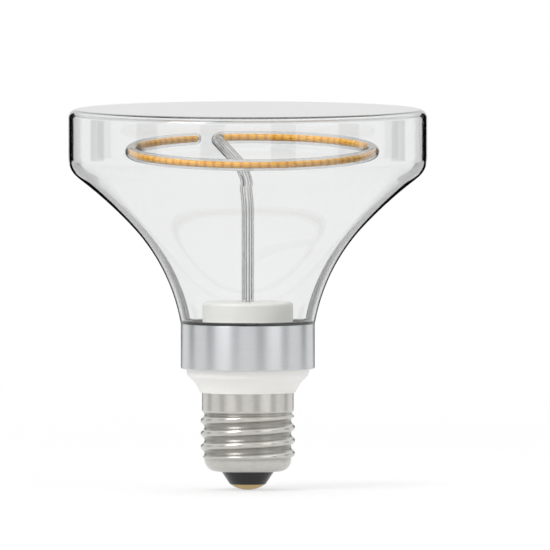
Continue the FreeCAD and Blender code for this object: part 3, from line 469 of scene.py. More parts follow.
def nickel_plated_brass(settings, sizes):
    """Nickel plate over rolled brass sheet: bright crests, and roots darkened by painted shade.

    The painted shade, which also makes the roots rougher, thins out from the roots to half-way up
    the crests, and below the thread. The marks of the rollers are coarser than the real ones, so
    that they show.
    """
    finish, tree = new_finish("nickel_plated_brass")
    marks = grain(tree, 1.6 * MM, 4.0)
    place = add_node(tree, "TexCoord")
    flat = add_node(tree, "VectorMath", {0: place.outputs["Object"], 1: (1, 1, 0)}, operation="MULTIPLY")
    reach = add_node(tree, "VectorMath", {0: flat}, operation="LENGTH")
    # Painted shade: the colour is darkened in the thread's roots, where shade falls, and fades out half-way
    # up the crests
    painted_root_shade = add_node(tree, "MapRange", {
        "Value": reach,
        "From Min": sizes.root_radius,
        "From Max": sizes.root_radius + (sizes.crest_radius - sizes.root_radius) * 0.55,
        "To Min": 0.75,
        "To Max": 0.0,
    }, interpolation_type="SMOOTHSTEP")
    height = add_node(tree, "SeparateXYZ", {"Vector": place.outputs["Object"]})
    rolled = add_node(tree, "MapRange", {
        "Value": height.outputs["Z"],
        "From Min": sizes.thread_base - sizes.pitch / 4,
        "From Max": sizes.thread_base + sizes.pitch / 2,
    }, interpolation_type="SMOOTHSTEP")
    painted_shade_on_thread = add_node(tree, "Math", {0: painted_root_shade, 1: rolled}, operation="MULTIPLY")
    spots = add_node(tree, "MapRange", {"Value": marks, "To Min": 0.0, "To Max": 0.3})
    # The painted root shade and the roller marks together darken the colour and raise the roughness
    painted_shade_and_marks = add_node(tree, "Math", {0: painted_shade_on_thread, 1: spots})
    shade = add_node(tree, "Mix", {
        "Factor": painted_shade_and_marks, "A": rgba(settings.nickel), "B": rgba(settings.nickel, 0.45)
    }, data_type="RGBA")
    shader = add_node(tree, "BsdfPrincipled", {
        "Base Color": shade,
        "Metallic": 1.0,
        "Roughness": add_node(tree, "MapRange", {"Value": painted_shade_and_marks, "To Min": 0.27, "To Max": 0.42}),
        "Normal": add_node(tree, "Bump", {"Height": marks, "Distance": 0.004 * MM, "Strength": 1.0}),
        **brushed_round(tree, 0.6),
    })
    add_node(tree, "OutputMaterial", {"Surface": shader})
    return finish


def tinned_brass(settings):
    """Stamped brass with a tinned face: soft, slightly yellow highlights."""
    return worked_metal("tinned_brass", settings.brass, 0.28, 0.7 * MM, depth=0.006 * MM)


def black_cap_glass(settings):
    """Moulded black glass: deep black, glossy, with faint ripples from the mould."""
    base = settings.black_glass
    return grained_finish("black_cap_glass", base, 0.0, (0.08, 0.2), 0.02 * MM, (2.5 * MM,), IOR=1.52)


def phosphor_silicone(settings, pitch):
    """Phosphor in silicone: soft and saturated, paler over each chip, deeper where the coat is thick.

    The specks are far coarser than the real grains, so that they show.
    """
    finish, tree = new_finish("phosphor_silicone")
    speck = grain(tree, 0.35 * MM)
    along = add_node(tree, "Attribute", attribute_name="along").outputs["Fac"]
    phase = add_node(tree, "Math", {0: along, 1: 2 * math.pi / pitch}, operation="MULTIPLY")
    wave = add_node(tree, "Math", {0: phase}, operation="COSINE")
    gap = add_node(tree, "MapRange", {"Value": wave, "From Min": 0.1, "From Max": 0.9})
    spots = add_node(tree, "MapRange", {"Value": speck, "To Min": -0.1, "To Max": 0.15})
    deeper = add_node(tree, "Math", {0: gap, 1: spots}, use_clamp=True)
    coat = add_node(tree, "Mix", {
        "Factor": deeper, "A": rgba(settings.filament), "B": rgba(settings.filament_gap)
    }, data_type="RGBA")
    shader = add_node(tree, "BsdfPrincipled", {
        "Base Color": coat,
        "Roughness": 0.42,
        "IOR": 1.41,
        "Subsurface Weight": 0.25,
        "Subsurface Radius": (1.0, 0.6, 0.1),
        "Subsurface Scale": 0.3 * MM,
        "Normal": add_node(tree, "Bump", {"Height": speck, "Distance": 0.01 * MM, "Strength": 1.0}),
    })
    add_node(tree, "OutputMaterial", {"Surface": shader})
    return finish


def clear_glass(name, index, wave, wave_size, tint, dimming):
    """Clear glass: colourless through a thin wall, dim where a long way through it is seen.

    The dimming is how strongly a metre of it takes away what the tint lacks. Where the wall is seen
    at a low angle, at the piece's edge, its colour goes to near black: painted shade that draws the
    outline. Slow waves are left from blowing or drawing.
    """
    finish, tree = new_finish(name)
    ripple = grain(tree, wave_size, 1.0)
    # Painted shade: the colour goes from white to near black where the wall is seen at a low angle, drawing
    # a dark outline
    facing = add_node(tree, "LayerWeight", {"Blend": 0.5}).outputs["Facing"]
    edge = add_node(tree, "MapRange", {
        "Value": facing, "From Min": 0.65, "From Max": 0.9, "To Min": 0.0, "To Max": 0.97
    }, interpolation_type="SMOOTHSTEP")
    clear = add_node(
        tree, "Mix", {"Factor": edge, "A": (1, 1, 1, 1), "B": (0, 0, 0, 1)}, data_type="RGBA"
    )
    shader = add_node(tree, "BsdfPrincipled", {
        "Base Color": clear,
        "Roughness": 0.0,
        "IOR": index,
        "Transmission Weight": 1.0,
        "Normal": add_node(tree, "Bump", {"Height": ripple, "Distance": wave, "Strength": 1.0}),
    })
    depth = add_node(tree, "VolumeAbsorption", {"Color": rgba(linear(tint)), "Density": dimming})
    add_node(tree, "OutputMaterial", {"Surface": shader, "Volume": depth})
    return finish


def blown_soda_lime_glass():
    """Blown soda-lime glass: faint slow waves, and a grey-green cast where the wall is seen edge-on."""
    return clear_glass("blown_soda_lime_glass", 1.52, 0.012 * MM, 24 * MM, "7F8C86", 110.0)


def drawn_borosilicate_glass():
    """Drawn borosilicate tube: smoother than blown glass, with edges dimmed by its tint and by painted
    shade.
    """
    return clear_glass("drawn_borosilicate_glass", 1.47, 0.003 * MM, 8 * MM, "7E8889", 220.0)


def put_on(piece, finish):
    """Gives the whole piece one material, in place of what it had."""
    piece.data.materials.clear()
    piece.data.materials.append(finish)


def seated(piece, finish, slot, *nodes):
    """Finishes a new piece, lets it ride, and has it stand for its nodes of the frame."""
    put_on(piece, finish)
    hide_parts(*nodes)
    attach(piece, "root")


def high(node):
    """The highest corner of a node of the frame."""
    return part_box(node)[1]


def low(node):
    """The lowest corner of a node of the frame."""
    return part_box(node)[0]


def flare_arcs(sizes):
    """Centres, radii and angles of the arcs of the flare: lower bend, upper bend and corner.

    The lower bend leaves the short cone along it and ends at the joint. The upper bend goes on
    from there with the same tangent, and the corner touches it and the straight side.
    """
    glass = high("glass_envelope")
    cone = np.array([sizes.cone_spread, sizes.cone_height])
    cone_top = cone + (high("collar").x, high("collar").z)
    joint = np.array([sizes.joint_radius, glass.z - sizes.joint_depth])
    chord = joint - cone_top
    reach = np.linalg.norm(chord)
    half_turn = math.acos(cone @ chord / (np.linalg.norm(cone) * reach))
    lower_bend = reach / (2 * math.sin(half_turn))
    across = np.array([chord[1], -chord[0]]) / reach
    lower = (cone_top + joint) / 2 + across * lower_bend * math.cos(half_turn)
    upper = joint + (lower - joint) / lower_bend * sizes.upper_bend
    corner_x = glass.x - sizes.corner_round
    rise = math.sqrt((sizes.upper_bend + sizes.corner_round) ** 2 - (corner_x - upper[0]) ** 2)
    corner = np.array([corner_x, upper[1] + rise])
    meet = bearing(corner - upper)
    return [
        (lower, lower_bend, bearing(cone_top - lower) % 360, bearing(joint - lower)),
        (upper, sizes.upper_bend, bearing(joint - upper), meet),
        (corner, -sizes.corner_round, meet - 180, 0.0),
    ]


def eased_bends(outline, reach):
    """The outline in even steps, each point the average, by a raised cosine, of those within the reach.

    Blown glass has no sudden change of curvature, which would break what is seen through it.
    """
    walked = walked_along(outline)
    even = np.linspace(0, walked[-1], math.ceil(walked[-1] / GLASS_STEP) + 1)
    points = np.column_stack([np.interp(even, walked, outline[:, side]) for side in (0, 1)])
    half = round(reach / 2 / GLASS_STEP)
    weights = np.hanning(2 * half + 3)[1:-1]
    weights /= weights.sum()
    before = 2 * points[0] - points[half:0:-1]
    after = 2 * points[-1] - points[-2:-half - 2:-1]
    padded = np.concatenate([before, points, after])
    return np.column_stack([np.convolve(padded[:, side], weights, "valid") for side in (0, 1)])


def glass_side(sizes, inset):
    """One side of the glass wall from the collar's top to the front, set in from the outside."""
    collar = high("collar")
    glass = high("glass_envelope")
    points = [[[collar.x - inset, collar.z]]]
    for centre, radius, start, end in flare_arcs(sizes):
        radius = abs(radius) + math.copysign(inset, radius)
        points.append(arc(centre, radius, start, end, steps=36))
    rim = (glass.x - sizes.rim_round, glass.z - sizes.rim_round)
    points.append([[glass.x - inset, rim[1]]])
    flare = eased_bends(np.concatenate(points), sizes.bend_ease)
    round_rim = arc(rim, sizes.rim_round - inset, 0, 90, steps=12)[1:]
    return np.concatenate([flare, round_rim, [[0.0, glass.z - inset]]])


class BULB_OT_make_glass(bpy.types.Operator):
    """Blow the flared glass with its flat front, straight side and neck"""

    bl_idname = "bulb.make_glass"
    bl_label = "Glass envelope"

    def execute(self, context):
        sizes = context.scene.bulb_glass
        collar = high("collar")
        foot_height = low("glass_envelope").z
        inside = glass_side(sizes, sizes.wall)[::-1]
        inside = inside[inside[:, 1] > collar.z + sizes.wall]
        neck = collar.x - sizes.neck_step
        melt = sizes.wall * 0.45
        foot = rounded([
            (neck - sizes.wall, collar.z),
            (neck - sizes.wall, foot_height, melt),
            (neck, foot_height, melt),
            (neck, collar.z),
        ])
        outline = spread(np.concatenate([inside, foot, glass_side(sizes, 0.0)]))
        glass = turned("clear_glass_envelope", outline)
        seated(glass, blown_soda_lime_glass(), "clear_glass", "glass_envelope")
        glass.visible_shadow = False
        return {"FINISHED"}


class TubeLine:
    """The light tube's centreline, worked out from its sizes as its maker would bend it."""

    def __init__(self, sizes):
        self.sizes = sizes
        self.middle = np.array([sizes.ring_offset, 0.0, high("glass_envelope").z - sizes.ring_depth])
        self.start = self.ring_point(sizes.ring_start)
        self.way = (self.ring_point(sizes.ring_start - math.pi / 2) - self.middle) / sizes.ring_radius

    def ring_point(self, turn):
        """The middle plus the radius along (cos a, sin a), the sine's share laid in the tilted plane."""
        tilt = self.sizes.ring_tilt
        back = math.sin(turn)
        flat = np.array([math.cos(turn), back * math.cos(tilt), back * math.sin(tilt)])
        return self.middle + self.sizes.ring_radius * flat

    def stem(self):
        """The walk from the foot up the stem, round its bend, along the slant and round the hook."""
        bend = self.sizes.stem_bend
        setback = self.sizes.hook_setback
        foot = AXIS * (high("tube_seat").z - self.sizes.socket_depth)
        corner = AXIS * (self.middle[2] - self.sizes.stem_corner)
        slant = self.start - self.way * setback - corner
        reach = np.linalg.norm(slant)
        slant /= reach
        lean = math.acos(slant @ AXIS)
        lean_set = bend * math.tan(lean / 2)
        walk = Walk(foot, AXIS, [1.0, 0.0, 0.0])
        walk.straight(corner[2] - foot[2] - lean_set, steps=24)
        axis = np.cross(AXIS, slant)
        walk.bent(axis / np.linalg.norm(axis), bend, lean, steps=24)
        walk.straight(reach - lean_set - setback, steps=16)
        hook = math.acos(slant @ self.way)
        axis = np.cross(slant, self.way)
        walk.bent(axis / np.linalg.norm(axis), setback / math.tan(hook / 2), hook, steps=32)
        return walk

    def ring(self, walk, steps):
        """Walks on round the ring, clockwise as seen from the front of the bulb."""
        tilt = self.sizes.ring_tilt
        axis = np.array([0.0, math.sin(tilt), -math.cos(tilt)])
        walk.bent(axis, self.sizes.ring_radius, 2 * math.pi - self.sizes.ring_gap, steps)


def capped(walk, radius):
    """Walks on by the radius, and gives the radii: full all along, then those of a half ball."""
    full = sum(len(stretch) for stretch in walk.stretches)
    walk.straight(radius, CAP_ROWS)
    share = np.linspace(0, 1, CAP_ROWS + 1)[1:]
    return np.concatenate([np.full(full, radius), radius * np.sqrt(1 - share * share)])


def tube_side(line, radius):
    """The rings of one side of the tube wall, from its open foot to its rounded closed end."""
    walk = line.stem()
    line.ring(walk, steps=360)
    radii = capped(walk, radius)
    return (*walk.lines(), radii)


class BULB_OT_make_light_tube(bpy.types.Operator):
    """Bend the clear tube: stem, slant, hook and ring, closed by a round end"""

    bl_idname = "bulb.make_light_tube"
    bl_label = "Light tube"

    def execute(self, context):
        sizes = context.scene.bulb_tube
        line = TubeLine(sizes)
        outside = tube_side(line, sizes.radius)
        inside = tube_side(line, sizes.radius - sizes.wall)
        rings = [np.concatenate([within[::-1], without]) for within, without in zip(inside, outside)]
        tube = ring_surface("clear_light_tube", *rings, around=48)
        seated(tube, drawn_borosilicate_glass(), "tube_glass", "light_tube")
        tube.visible_shadow = False
        return {"FINISHED"}


class BULB_OT_make_filament(bpy.types.Operator):
    """Cast the phosphor coat round the strip of light chips"""

    bl_idname = "bulb.make_filament"
    bl_label = "Filament"

    def execute(self, context):
        sizes = context.scene.bulb_tube
        radius = sizes.filament_radius
        line = TubeLine(sizes)
        side = (line.start - line.middle) / sizes.ring_radius
        walk = Walk(line.start - line.way * radius, line.way, side)
        walk.straight(radius, CAP_ROWS)
        line.ring(walk, steps=700)
        radii = capped(walk, radius)
        radii[:CAP_ROWS] = radii[:-CAP_ROWS - 1:-1]
        coat = ring_surface("phosphor_filament", *walk.lines(), radii, around=32)
        finish = phosphor_silicone(context.scene.bulb_finishes, sizes.chip_pitch)
        seated(coat, finish, "phosphor", "phosphor_coat")
        return {"FINISHED"}


def hollow_arc(start, end, bend):
    """Points from start towards end on an arc of the bend's radius that bows to the left of the way."""
    start = np.array(start)
    chord = np.array(end) - start
    reach = np.linalg.norm(chord)
    right = np.array([chord[1], -chord[0]]) / reach
    centre = start + chord / 2 + right * math.sqrt(bend ** 2 - (reach / 2) ** 2)
    first = bearing(start - centre)
    sweep = math.degrees(2 * math.asin(reach / 2 / bend))
    return arc(centre, bend, first, first - sweep, steps=8)[:-1]


class BULB_OT_make_housing(bpy.types.Operator):
    """Mould the housing: spigot in the cap, hollow taper, waist, shoulder, barrel and deck"""

    bl_idname = "bulb.make_housing"
    bl_label = "Driver housing"

    def execute(self, context):
        sizes = context.scene.bulb_body
        cap = context.scene.bulb_cap
        glass = context.scene.bulb_glass
        foot = high("screw_shell").z
        collar_base = low("collar").z
        waist = high("collar").x - sizes.waist_step
        lip_top = collar_base + sizes.collar_wall
        shoulder = high("driver_housing").x
        shoulder_top = lip_top + sizes.shoulder_height
        barrel = high("collar").x - glass.neck_step - glass.wall - sizes.barrel_gap
        deck = high("driver_housing").z
        plug_hole = high("tube_seat").x - sizes.seat_rim + sizes.clearance
        spigot_base = low("driver_housing").z
        spigot = cap.root_radius - cap.sheet - sizes.spigot_gap
        spigot_bore = spigot - sizes.spigot_wall
        band = cap.band_radius - cap.sheet - sizes.clearance / 2
        band_base = cap.thread_top + cap.thread_fade / 2
        edge = (waist - sizes.taper_edge_step, collar_base - sizes.taper_edge_drop)
        wall = sizes.housing_wall
        outline = rounded([
            (spigot_bore, spigot_base + sizes.ledge),
            (spigot_bore - sizes.ledge, spigot_base + sizes.ledge),
            (spigot_bore - sizes.ledge, spigot_base),
            (spigot, spigot_base),
            (spigot, band_base),
            (band, band_base + wall / 2),
            (band, foot),
            *hollow_arc((sizes.taper_foot, foot), edge, sizes.taper_bend),
            (*edge, sizes.taper_edge_round),
            (waist, collar_base),
            (waist, lip_top),
            (shoulder, lip_top),
            (shoulder, shoulder_top),
            (barrel, shoulder_top),
            (barrel, deck, sizes.edge_round),
            (plug_hole, deck),
            (plug_hole, deck - wall),
            (barrel - wall, deck - wall),
            (barrel - wall, lip_top),
            (band - wall, foot + wall / 2),
            (band - wall, band_base + wall),
            (spigot_bore, band_base),
        ])
        finish = moulded_polymer("moulded_white_pbt", context.scene.bulb_finishes.plastic, 0.4)
        seated(turned("white_driver_housing", outline), finish, "white_plastic", "driver_housing")
        return {"FINISHED"}


class BULB_OT_make_seat(bpy.types.Operator):
    """Mould the seat that holds the foot of the light tube"""

    bl_idname = "bulb.make_seat"
    bl_label = "Tube seat"

    def execute(self, context):
        sizes = context.scene.bulb_body
        top = high("tube_seat").z
        deck = high("driver_housing").z
        radius = high("tube_seat").x
        plug = radius - sizes.seat_rim
        socket_base = top - context.scene.bulb_tube.socket_depth
        outline = rounded([
            (sizes.lead_hole, socket_base - sizes.socket_floor),
            (sizes.boss_radius, socket_base - sizes.socket_floor),
            (sizes.boss_radius, top - sizes.seat_plate),
            (plug - sizes.skirt_wall, top - sizes.seat_plate),
            (plug - sizes.skirt_wall, deck - sizes.plug_depth),
            (plug, deck - sizes.plug_depth),
            (plug, deck),
            (radius, deck, sizes.edge_round / 2),
            (radius, top, sizes.seat_edge),
            (sizes.socket_radius, top, sizes.edge_round),
            (sizes.socket_radius, socket_base),
            (sizes.lead_hole, socket_base),
        ])
        finish = moulded_polymer("moulded_white_seat", context.scene.bulb_finishes.plastic, 0.45)
        seated(turned("white_tube_seat", outline), finish, "white_plastic", "tube_seat")
        return {"FINISHED"}


class BULB_OT_make_collar(bpy.types.Operator):
    """Draw the satin ring that holds the glass on the housing"""

    bl_idname = "bulb.make_collar"
    bl_label = "Collar"

    def execute(self, context):
        sizes = context.scene.bulb_body
        base = low("collar").z
        top = high("collar").z
        radius = high("collar").x
        lip = radius - sizes.waist_step + sizes.clearance
        bore = radius - sizes.collar_wall
        outline = rounded([
            (lip, base, sizes.clearance),
            (radius, base, sizes.collar_edge),
            (radius, top, sizes.clearance),
            (bore, top, sizes.clearance),
            (bore, base + sizes.collar_wall),
            (lip, base + sizes.collar_wall, sizes.clearance),
        ])
        finish = drawn_aluminium(context.scene.bulb_finishes)
        seated(turned("satin_collar", outline), finish, "collar_metal", "collar")
        return {"FINISHED"}


def thread_wave(sizes, height, turn):
    """How far the rolled thread stands out of the root: tangent arcs of one radius, crest and root.

    The wave's phase is the height in pitches less the share of a turn. The arcs' radius comes
    from a quarter pitch and half the depth. The whole wave fades in and out at its two ends.
    """
    depth = sizes.crest_radius - sizes.root_radius
    quarter = sizes.pitch / 4
    bend = (quarter ** 2 + (depth / 2) ** 2) / depth
    phase = (height - sizes.thread_base) / sizes.pitch - turn
    from_crest = np.abs((phase - np.floor(phase)) * sizes.pitch - sizes.pitch / 2)
    from_root = sizes.pitch / 2 - from_crest
    crest = depth - bend + np.sqrt(bend ** 2 - np.minimum(from_crest, quarter) ** 2)
    root = bend - np.sqrt(bend ** 2 - np.minimum(from_root, quarter) ** 2)
    wave = np.where(from_crest < quarter, crest, root)
    rise = eased((height - sizes.thread_base) / sizes.thread_fade)
    fall = eased((sizes.thread_top - height) / sizes.thread_fade)
    return rise * fall * wave


def eased(share):
    """A share from 0 to 1 that starts and ends level."""
    share = np.clip(share, 0, 1)
    return share * share * (3 - 2 * share)


def shell_side(sizes, inset, rows):
    """Base radii and heights up one side of the shell's sheet, from the lip's hole to its rim."""
    middle = (sizes.root_radius - sizes.lip_bend, sizes.thread_base)
    heights = np.linspace(sizes.thread_base, high("screw_shell").z, rows + 1)[1:]
    widening = eased((heights - sizes.thread_top + sizes.thread_fade / 2) / sizes.thread_fade)
    radii = sizes.root_radius + (sizes.band_radius - sizes.root_radius) * widening - inset
    return np.concatenate([
        [[sizes.lip_hole, low("screw_shell").z + inset]],
        arc(middle, sizes.lip_bend - inset, -90, 0, steps=14),
        np.column_stack([radii, heights]),
    ])


class BULB_OT_make_cap(bpy.types.Operator):
    """Roll the screw shell with its round thread"""

    bl_idname = "bulb.make_cap"
    bl_label = "Screw cap"

    def execute(self, context):
        sizes = context.scene.bulb_cap
        outside = shell_side(sizes, 0.0, THREAD_ROWS)
        inside = shell_side(sizes, sizes.sheet, BORE_ROWS)[::-1]
        outline = np.concatenate([outside, inside])
        turn = np.arange(AROUND) / AROUND
        radii = outline[:, :1] + thread_wave(sizes, outline[:, 1:], turn)
        finish = nickel_plated_brass(context.scene.bulb_finishes, sizes)
        seated(turned("rolled_screw_shell", outline, radii), finish, "cap_metal", "screw_shell")
        return {"FINISHED"}


class BULB_OT_make_contact(bpy.types.Operator):
    """Mould the black glass insulator and stamp the domed centre contact"""

    bl_idname = "bulb.make_contact"
    bl_label = "Insulator and contact"

    def execute(self, context):
        sizes = context.scene.bulb_cap
        finishes = context.scene.bulb_finishes
        clearance = context.scene.bulb_body.clearance
        base = low("screw_shell").z
        inset = sizes.sheet + clearance
        floor = base + inset
        plate_top = floor + sizes.insulator_plate - clearance
        seat = sizes.contact_height
        contact = high("centre_contact")
        recess = sizes.contact_shank + clearance
        recess_top = contact.z + clearance
        bend = (sizes.root_radius - sizes.lip_bend, sizes.thread_base)
        outline = rounded([
            (sizes.wire_hole, recess_top),
            (recess, recess_top),
            (recess, seat),
            (sizes.insulator_foot, seat, clearance * 2),
            (sizes.lip_hole - clearance, base, clearance),
            (sizes.lip_hole - clearance, floor),
            *arc(bend, sizes.lip_bend - inset, -90, 0, steps=10),
            (sizes.root_radius - inset, plate_top),
            (sizes.wire_hole, plate_top),
        ])
        piece = turned("black_cap_insulator", outline)
        seated(piece, black_cap_glass(finishes), "black_glass", "cap_insulator")

        dome = (contact.x ** 2 + seat ** 2) / (2 * seat)
        reach = math.degrees(math.asin(contact.x / dome))
        bore = sizes.contact_shank * 0.4
        bore_floor = seat * 0.7
        outline = np.concatenate([
            arc((0.0, dome), dome, -90, reach - 90, steps=16),
            rounded([
                (sizes.contact_shank, seat),
                (sizes.contact_shank, contact.z, clearance),
                (bore, contact.z, clearance),
                (bore, bore_floor),
                (0.0, bore_floor),
            ]),
        ])
        outline[0, 0] = 0.0
        piece = turned("domed_centre_contact", outline)
        seated(piece, tinned_brass(finishes), "contact_metal", "centre_contact")
        return {"FINISHED"}


class BULB_OT_make_inside(bpy.types.Operator):
    """Finish what the bulb holds inside: strip, leads, driver board and its parts, cement and grommet"""

    bl_idname = "bulb.make_inside"
    bl_label = "Inside parts"

    def execute(self, context):
        # Moulded, dipped, printed or fired: an even colour, from matt rubber to glossy chips
        moulded = {
            "neck_cement tube_grommet": ("white_silicone_rubber", "DFE0DC", 0.55),
            "filament_strip": ("polyimide_strip", "D8CFB0", 0.5),
            "led_chips": ("sapphire_chip", "C7D2DE", 0.15),
            "driver_board": ("solder_resist", "1E5B33", 0.35),
            "bridge_rectifier driver_chip chip_resistors": ("black_epoxy", "191A1C", 0.45),
            "smoothing_capacitor": ("shrunk_sleeve", "23283B", 0.3),
            "input_capacitor": ("dipped_film_case", "A8391F", 0.3),
            "choke_core": ("sintered_ferrite", "2C2C2E", 0.6),
            "fusible_resistor": ("flameproof_lacquer", "6E8F80", 0.5),
            "output_terminal": ("nylon_block", "E9E8E0", 0.45),
            "live_wire": ("silicone_insulation", "A5241F", 0.4),
        }
        # Drawn or plated metal: bright, its reflections broken up by the marks of the die
        worked = {
            "filament_terminals": ("brass_ferrule", "C9A45C", 0.3, 0.3 * MM),
            "lead_feed lead_return": ("drawn_nickel_wire", "B9B9B6", 0.3, 0.3 * MM),
            "choke_winding": ("enamelled_copper", "B5651D", 0.3, 0.2 * MM, (0.3, 0.3, 3.0)),
            "neutral_wire": ("tinned_copper", "BDBCB8", 0.3, 0.3 * MM),
        }
        for make_finish, parts in ((moulded_polymer, moulded), (worked_metal, worked)):
            for nodes, (name, base, *marks) in parts.items():
                finish = make_finish(name, linear(base), *marks)
                for node in nodes.split():
                    put_on(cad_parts[node], finish)
        return {"FINISHED"}


def plain_sheet(name, corners, finish, seen=True):
    """A flat four-cornered sheet of the stage. One that isn't seen only shows in glass and metal."""
    mesh = bpy.data.meshes.new(name)
    mesh.from_pydata(corners, [], [(0, 1, 2, 3)])
    sheet = bpy.data.objects.new(name, mesh)
    bpy.context.scene.collection.objects.link(sheet)
    put_on(sheet, finish)
    sheet.visible_camera = seen
    sheet.visible_shadow = seen
    return sheet


def seen_share(tree):
    """One for rays that see a surface straight, in a mirror or through glass, and none for soft light."""
    ray = add_node(tree, "LightPath").outputs
    mirrored = add_node(tree, "Math", {0: ray["Is Camera Ray"], 1: ray["Is Glossy Ray"]})
    seen = add_node(tree, "Math", {0: mirrored, 1: ray["Is Transmission Ray"]}, use_clamp=True)
    return add_node(tree, "Math", {0: seen, 1: ray["Diffuse Depth"]}, operation="SUBTRACT", use_clamp=True)


def pale_table(settings):
    """Matt white table: white to the eye far off, while the bulb's soft shadow shows near it."""
    finish, tree = new_finish("matt_white_table")
    soft = add_node(tree, "BsdfDiffuse", {"Color": rgba(settings.floor)})
    white = add_node(tree, "Emission", {"Color": rgba(settings.floor), "Strength": 1.0})
    place = add_node(tree, "TexCoord")
    away = add_node(tree, "VectorMath", {0: place.outputs["Object"]}, operation="LENGTH")
    whiteness = add_node(tree, "MapRange", {
        "Value": away, "From Min": 0.03, "From Max": 0.6, "To Min": 0.6, "To Max": 1.0
    }, interpolation_type="SMOOTHSTEP")
    share = add_node(tree, "Math", {0: seen_share(tree), 1: whiteness}, operation="MULTIPLY")
    shader = add_node(tree, "MixShader", {"Fac": share, 1: soft, 2: white})
    add_node(tree, "OutputMaterial", {"Surface": shader})
    return finish


def black_card():
    """Matt black card and cloth, which draw the edges of clear glass and of bright metal."""
    finish, tree = new_finish("black_card")
    matt = add_node(tree, "BsdfDiffuse", {"Color": rgba(linear("101010"))})
    add_node(tree, "OutputMaterial", {"Surface": matt})
    return finish


def soft_room():
    """The room: white where it is seen, and an even pale light elsewhere."""
    world = bpy.data.worlds.new("soft_room")
    bpy.context.scene.world = world
    world.use_nodes = True
    tree = world.node_tree
    tree.nodes.clear()
    strength = add_node(tree, "MapRange", {"Value": seen_share(tree), "To Min": 0.6, "To Max": 1.0})
    light = add_node(tree, "Background", {"Color": (1, 1, 1, 1), "Strength": strength})
    add_node(tree, "OutputWorld", {"Surface": light})


def soft_lamp(name, place, side, power):
    """A square soft lamp that hangs at a place and points at the bulb. It isn't seen through glass."""
    lamp = bpy.data.lights.new(name, "AREA")
    lamp.shape = "SQUARE"
    lamp.size = side
    lamp.energy = power
    piece = bpy.data.objects.new(name, lamp)
    piece.location = place
    piece.rotation_euler = (AIM - piece.location).to_track_quat("-Z", "Y").to_euler()
    piece.visible_transmission = False
    bpy.context.scene.collection.objects.link(piece)


def dark_cards(finish):
    """Standing dark cards in even steps round the table."""
    for step in range(CARD_COUNT):
        turn = 2 * math.pi * (step + 0.5) / CARD_COUNT
        middle = Vector((math.sin(turn), math.cos(turn), 0)) * CARD_AWAY
        across = Vector((math.cos(turn), -math.sin(turn), 0)) * CARD_WIDTH / 2
        up = Vector((0, 0, CARD_HEIGHT))
        corners = [middle - across, middle + across, middle + across + up, middle - across + up]
        plain_sheet(f"dark_card_{step + 1}", corners, finish, seen=False)


def dark_cloth(name, reaches, turns, finish):
    """A dark cloth that lies behind the bulb, out of the view, between two reaches and two angles."""
    (near, far), (inner, outer) = reaches, np.radians(turns)
    corners = []
    for reach, turn in ((near, inner), (near, outer), (far, outer), (far, inner)):
        corners.append((reach * math.sin(turn), reach * math.cos(turn), CLOTH_HEIGHT))
    plain_sheet(name, corners, finish, seen=False).visible_diffuse = False


def set_camera(height):
    """A camera with parallel rays, as the drawing has them, at its small angle above the horizon."""
    scale = (PHOTO_FOOT_Y - PHOTO_TOP_Y) / height
    camera = bpy.data.cameras.new("front_view")
    camera.type = "ORTHO"
    camera.ortho_scale = PHOTO_SIDE / scale
    camera.clip_start = 0.01
    camera.clip_end = 20.0
    piece = bpy.data.objects.new("front_view", camera)
    bpy.context.scene.collection.objects.link(piece)
    back = Vector((0, -math.cos(VIEW_RISE), math.sin(VIEW_RISE)))
    upward = Vector((0, math.sin(VIEW_RISE), math.cos(VIEW_RISE)))
    beside = (PHOTO_SIDE / 2 - PHOTO_AXIS_X) / scale
    above = ((PHOTO_TOP_Y + PHOTO_FOOT_Y) / 2 - PHOTO_SIDE / 2) / scale
    piece.location = Vector((beside, 0, height / 2)) + upward * above + back * CAMERA_AWAY
    piece.rotation_mode = "QUATERNION"
    piece.rotation_quaternion = (-back).to_track_quat("-Z", "Y")
    bpy.context.scene.camera = piece


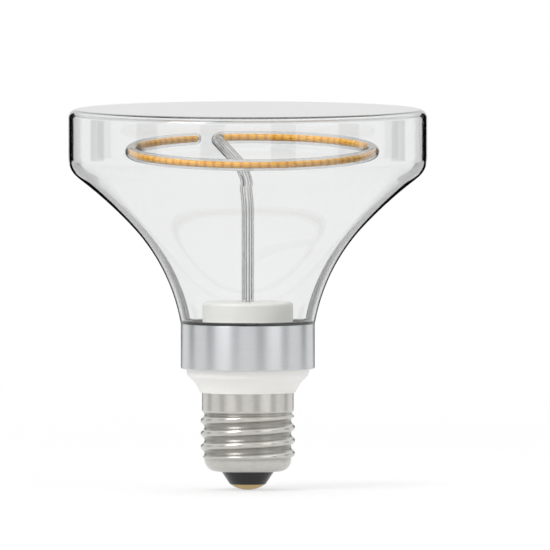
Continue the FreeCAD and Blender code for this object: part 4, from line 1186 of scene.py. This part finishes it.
class BULB_OT_make_stage(bpy.types.Operator):
    """Set up the pale table, the soft light, the dark cards and the camera"""

    bl_idname = "bulb.make_stage"
    bl_label = "Stage"

    def execute(self, context):
        context.scene.view_settings.view_transform = "Standard"
        reach = TABLE_REACH
        corners = [(-reach, -reach, 0), (reach, -reach, 0), (reach, reach, 0), (-reach, reach, 0)]
        plain_sheet("pale_table", corners, pale_table(context.scene.bulb_finishes))
        soft_room()
        for name, (place, side, power) in LAMPS.items():
            soft_lamp(name, place, side, power)
        dark = black_card()
        dark_cards(dark)
        for side in (-1, 1):
            for name, (reaches, turns) in CLOTHS.items():
                dark_cloth(f"{name}_{side + 2}", reaches, [side * turn for turn in turns], dark)
        set_camera(high("glass_envelope").z)
        return {"FINISHED"}


class BULB_PT_pieces(bpy.types.Panel):
    """Lists the pieces of the bulb"""

    bl_label = "Led filament bulb"
    bl_idname = "BULB_PT_pieces"
    bl_space_type = "VIEW_3D"
    bl_region_type = "UI"
    bl_category = "Bulb"

    def draw(self, context):
        for operator in OPERATORS:
            self.layout.operator(operator.bl_idname)


OPERATORS = (
    BULB_OT_make_glass,
    BULB_OT_make_light_tube,
    BULB_OT_make_filament,
    BULB_OT_make_housing,
    BULB_OT_make_seat,
    BULB_OT_make_collar,
    BULB_OT_make_cap,
    BULB_OT_make_contact,
    BULB_OT_make_inside,
    BULB_OT_make_stage,
)
GROUPS = {
    "bulb_glass": BulbGlassSizes,
    "bulb_tube": BulbTubeSizes,
    "bulb_body": BulbBodySizes,
    "bulb_cap": BulbCapSizes,
    "bulb_finishes": BulbFinishes,
}


def register():
    """Registers the sizes and colours, the operators and the panel."""
    for group in GROUPS.values():
        bpy.utils.register_class(group)
    for operator in OPERATORS:
        bpy.utils.register_class(operator)
    bpy.utils.register_class(BULB_PT_pieces)
    for name, group in GROUPS.items():
        setattr(bpy.types.Scene, name, PointerProperty(type=group))


def unregister():
    """Takes them away again, in the opposite order."""
    for name in GROUPS:
        delattr(bpy.types.Scene, name)
    bpy.utils.unregister_class(BULB_PT_pieces)
    for operator in reversed(OPERATORS):
        bpy.utils.unregister_class(operator)
    for group in reversed(GROUPS.values()):
        bpy.utils.unregister_class(group)


def main():
    """Registers the classes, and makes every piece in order."""
    register()
    bpy.ops.bulb.make_glass()
    bpy.ops.bulb.make_light_tube()
    bpy.ops.bulb.make_filament()
    bpy.ops.bulb.make_housing()
    bpy.ops.bulb.make_seat()
    bpy.ops.bulb.make_collar()
    bpy.ops.bulb.make_cap()
    bpy.ops.bulb.make_contact()
    bpy.ops.bulb.make_inside()
    bpy.ops.bulb.make_stage()


if __name__ == "__main__":
    main()
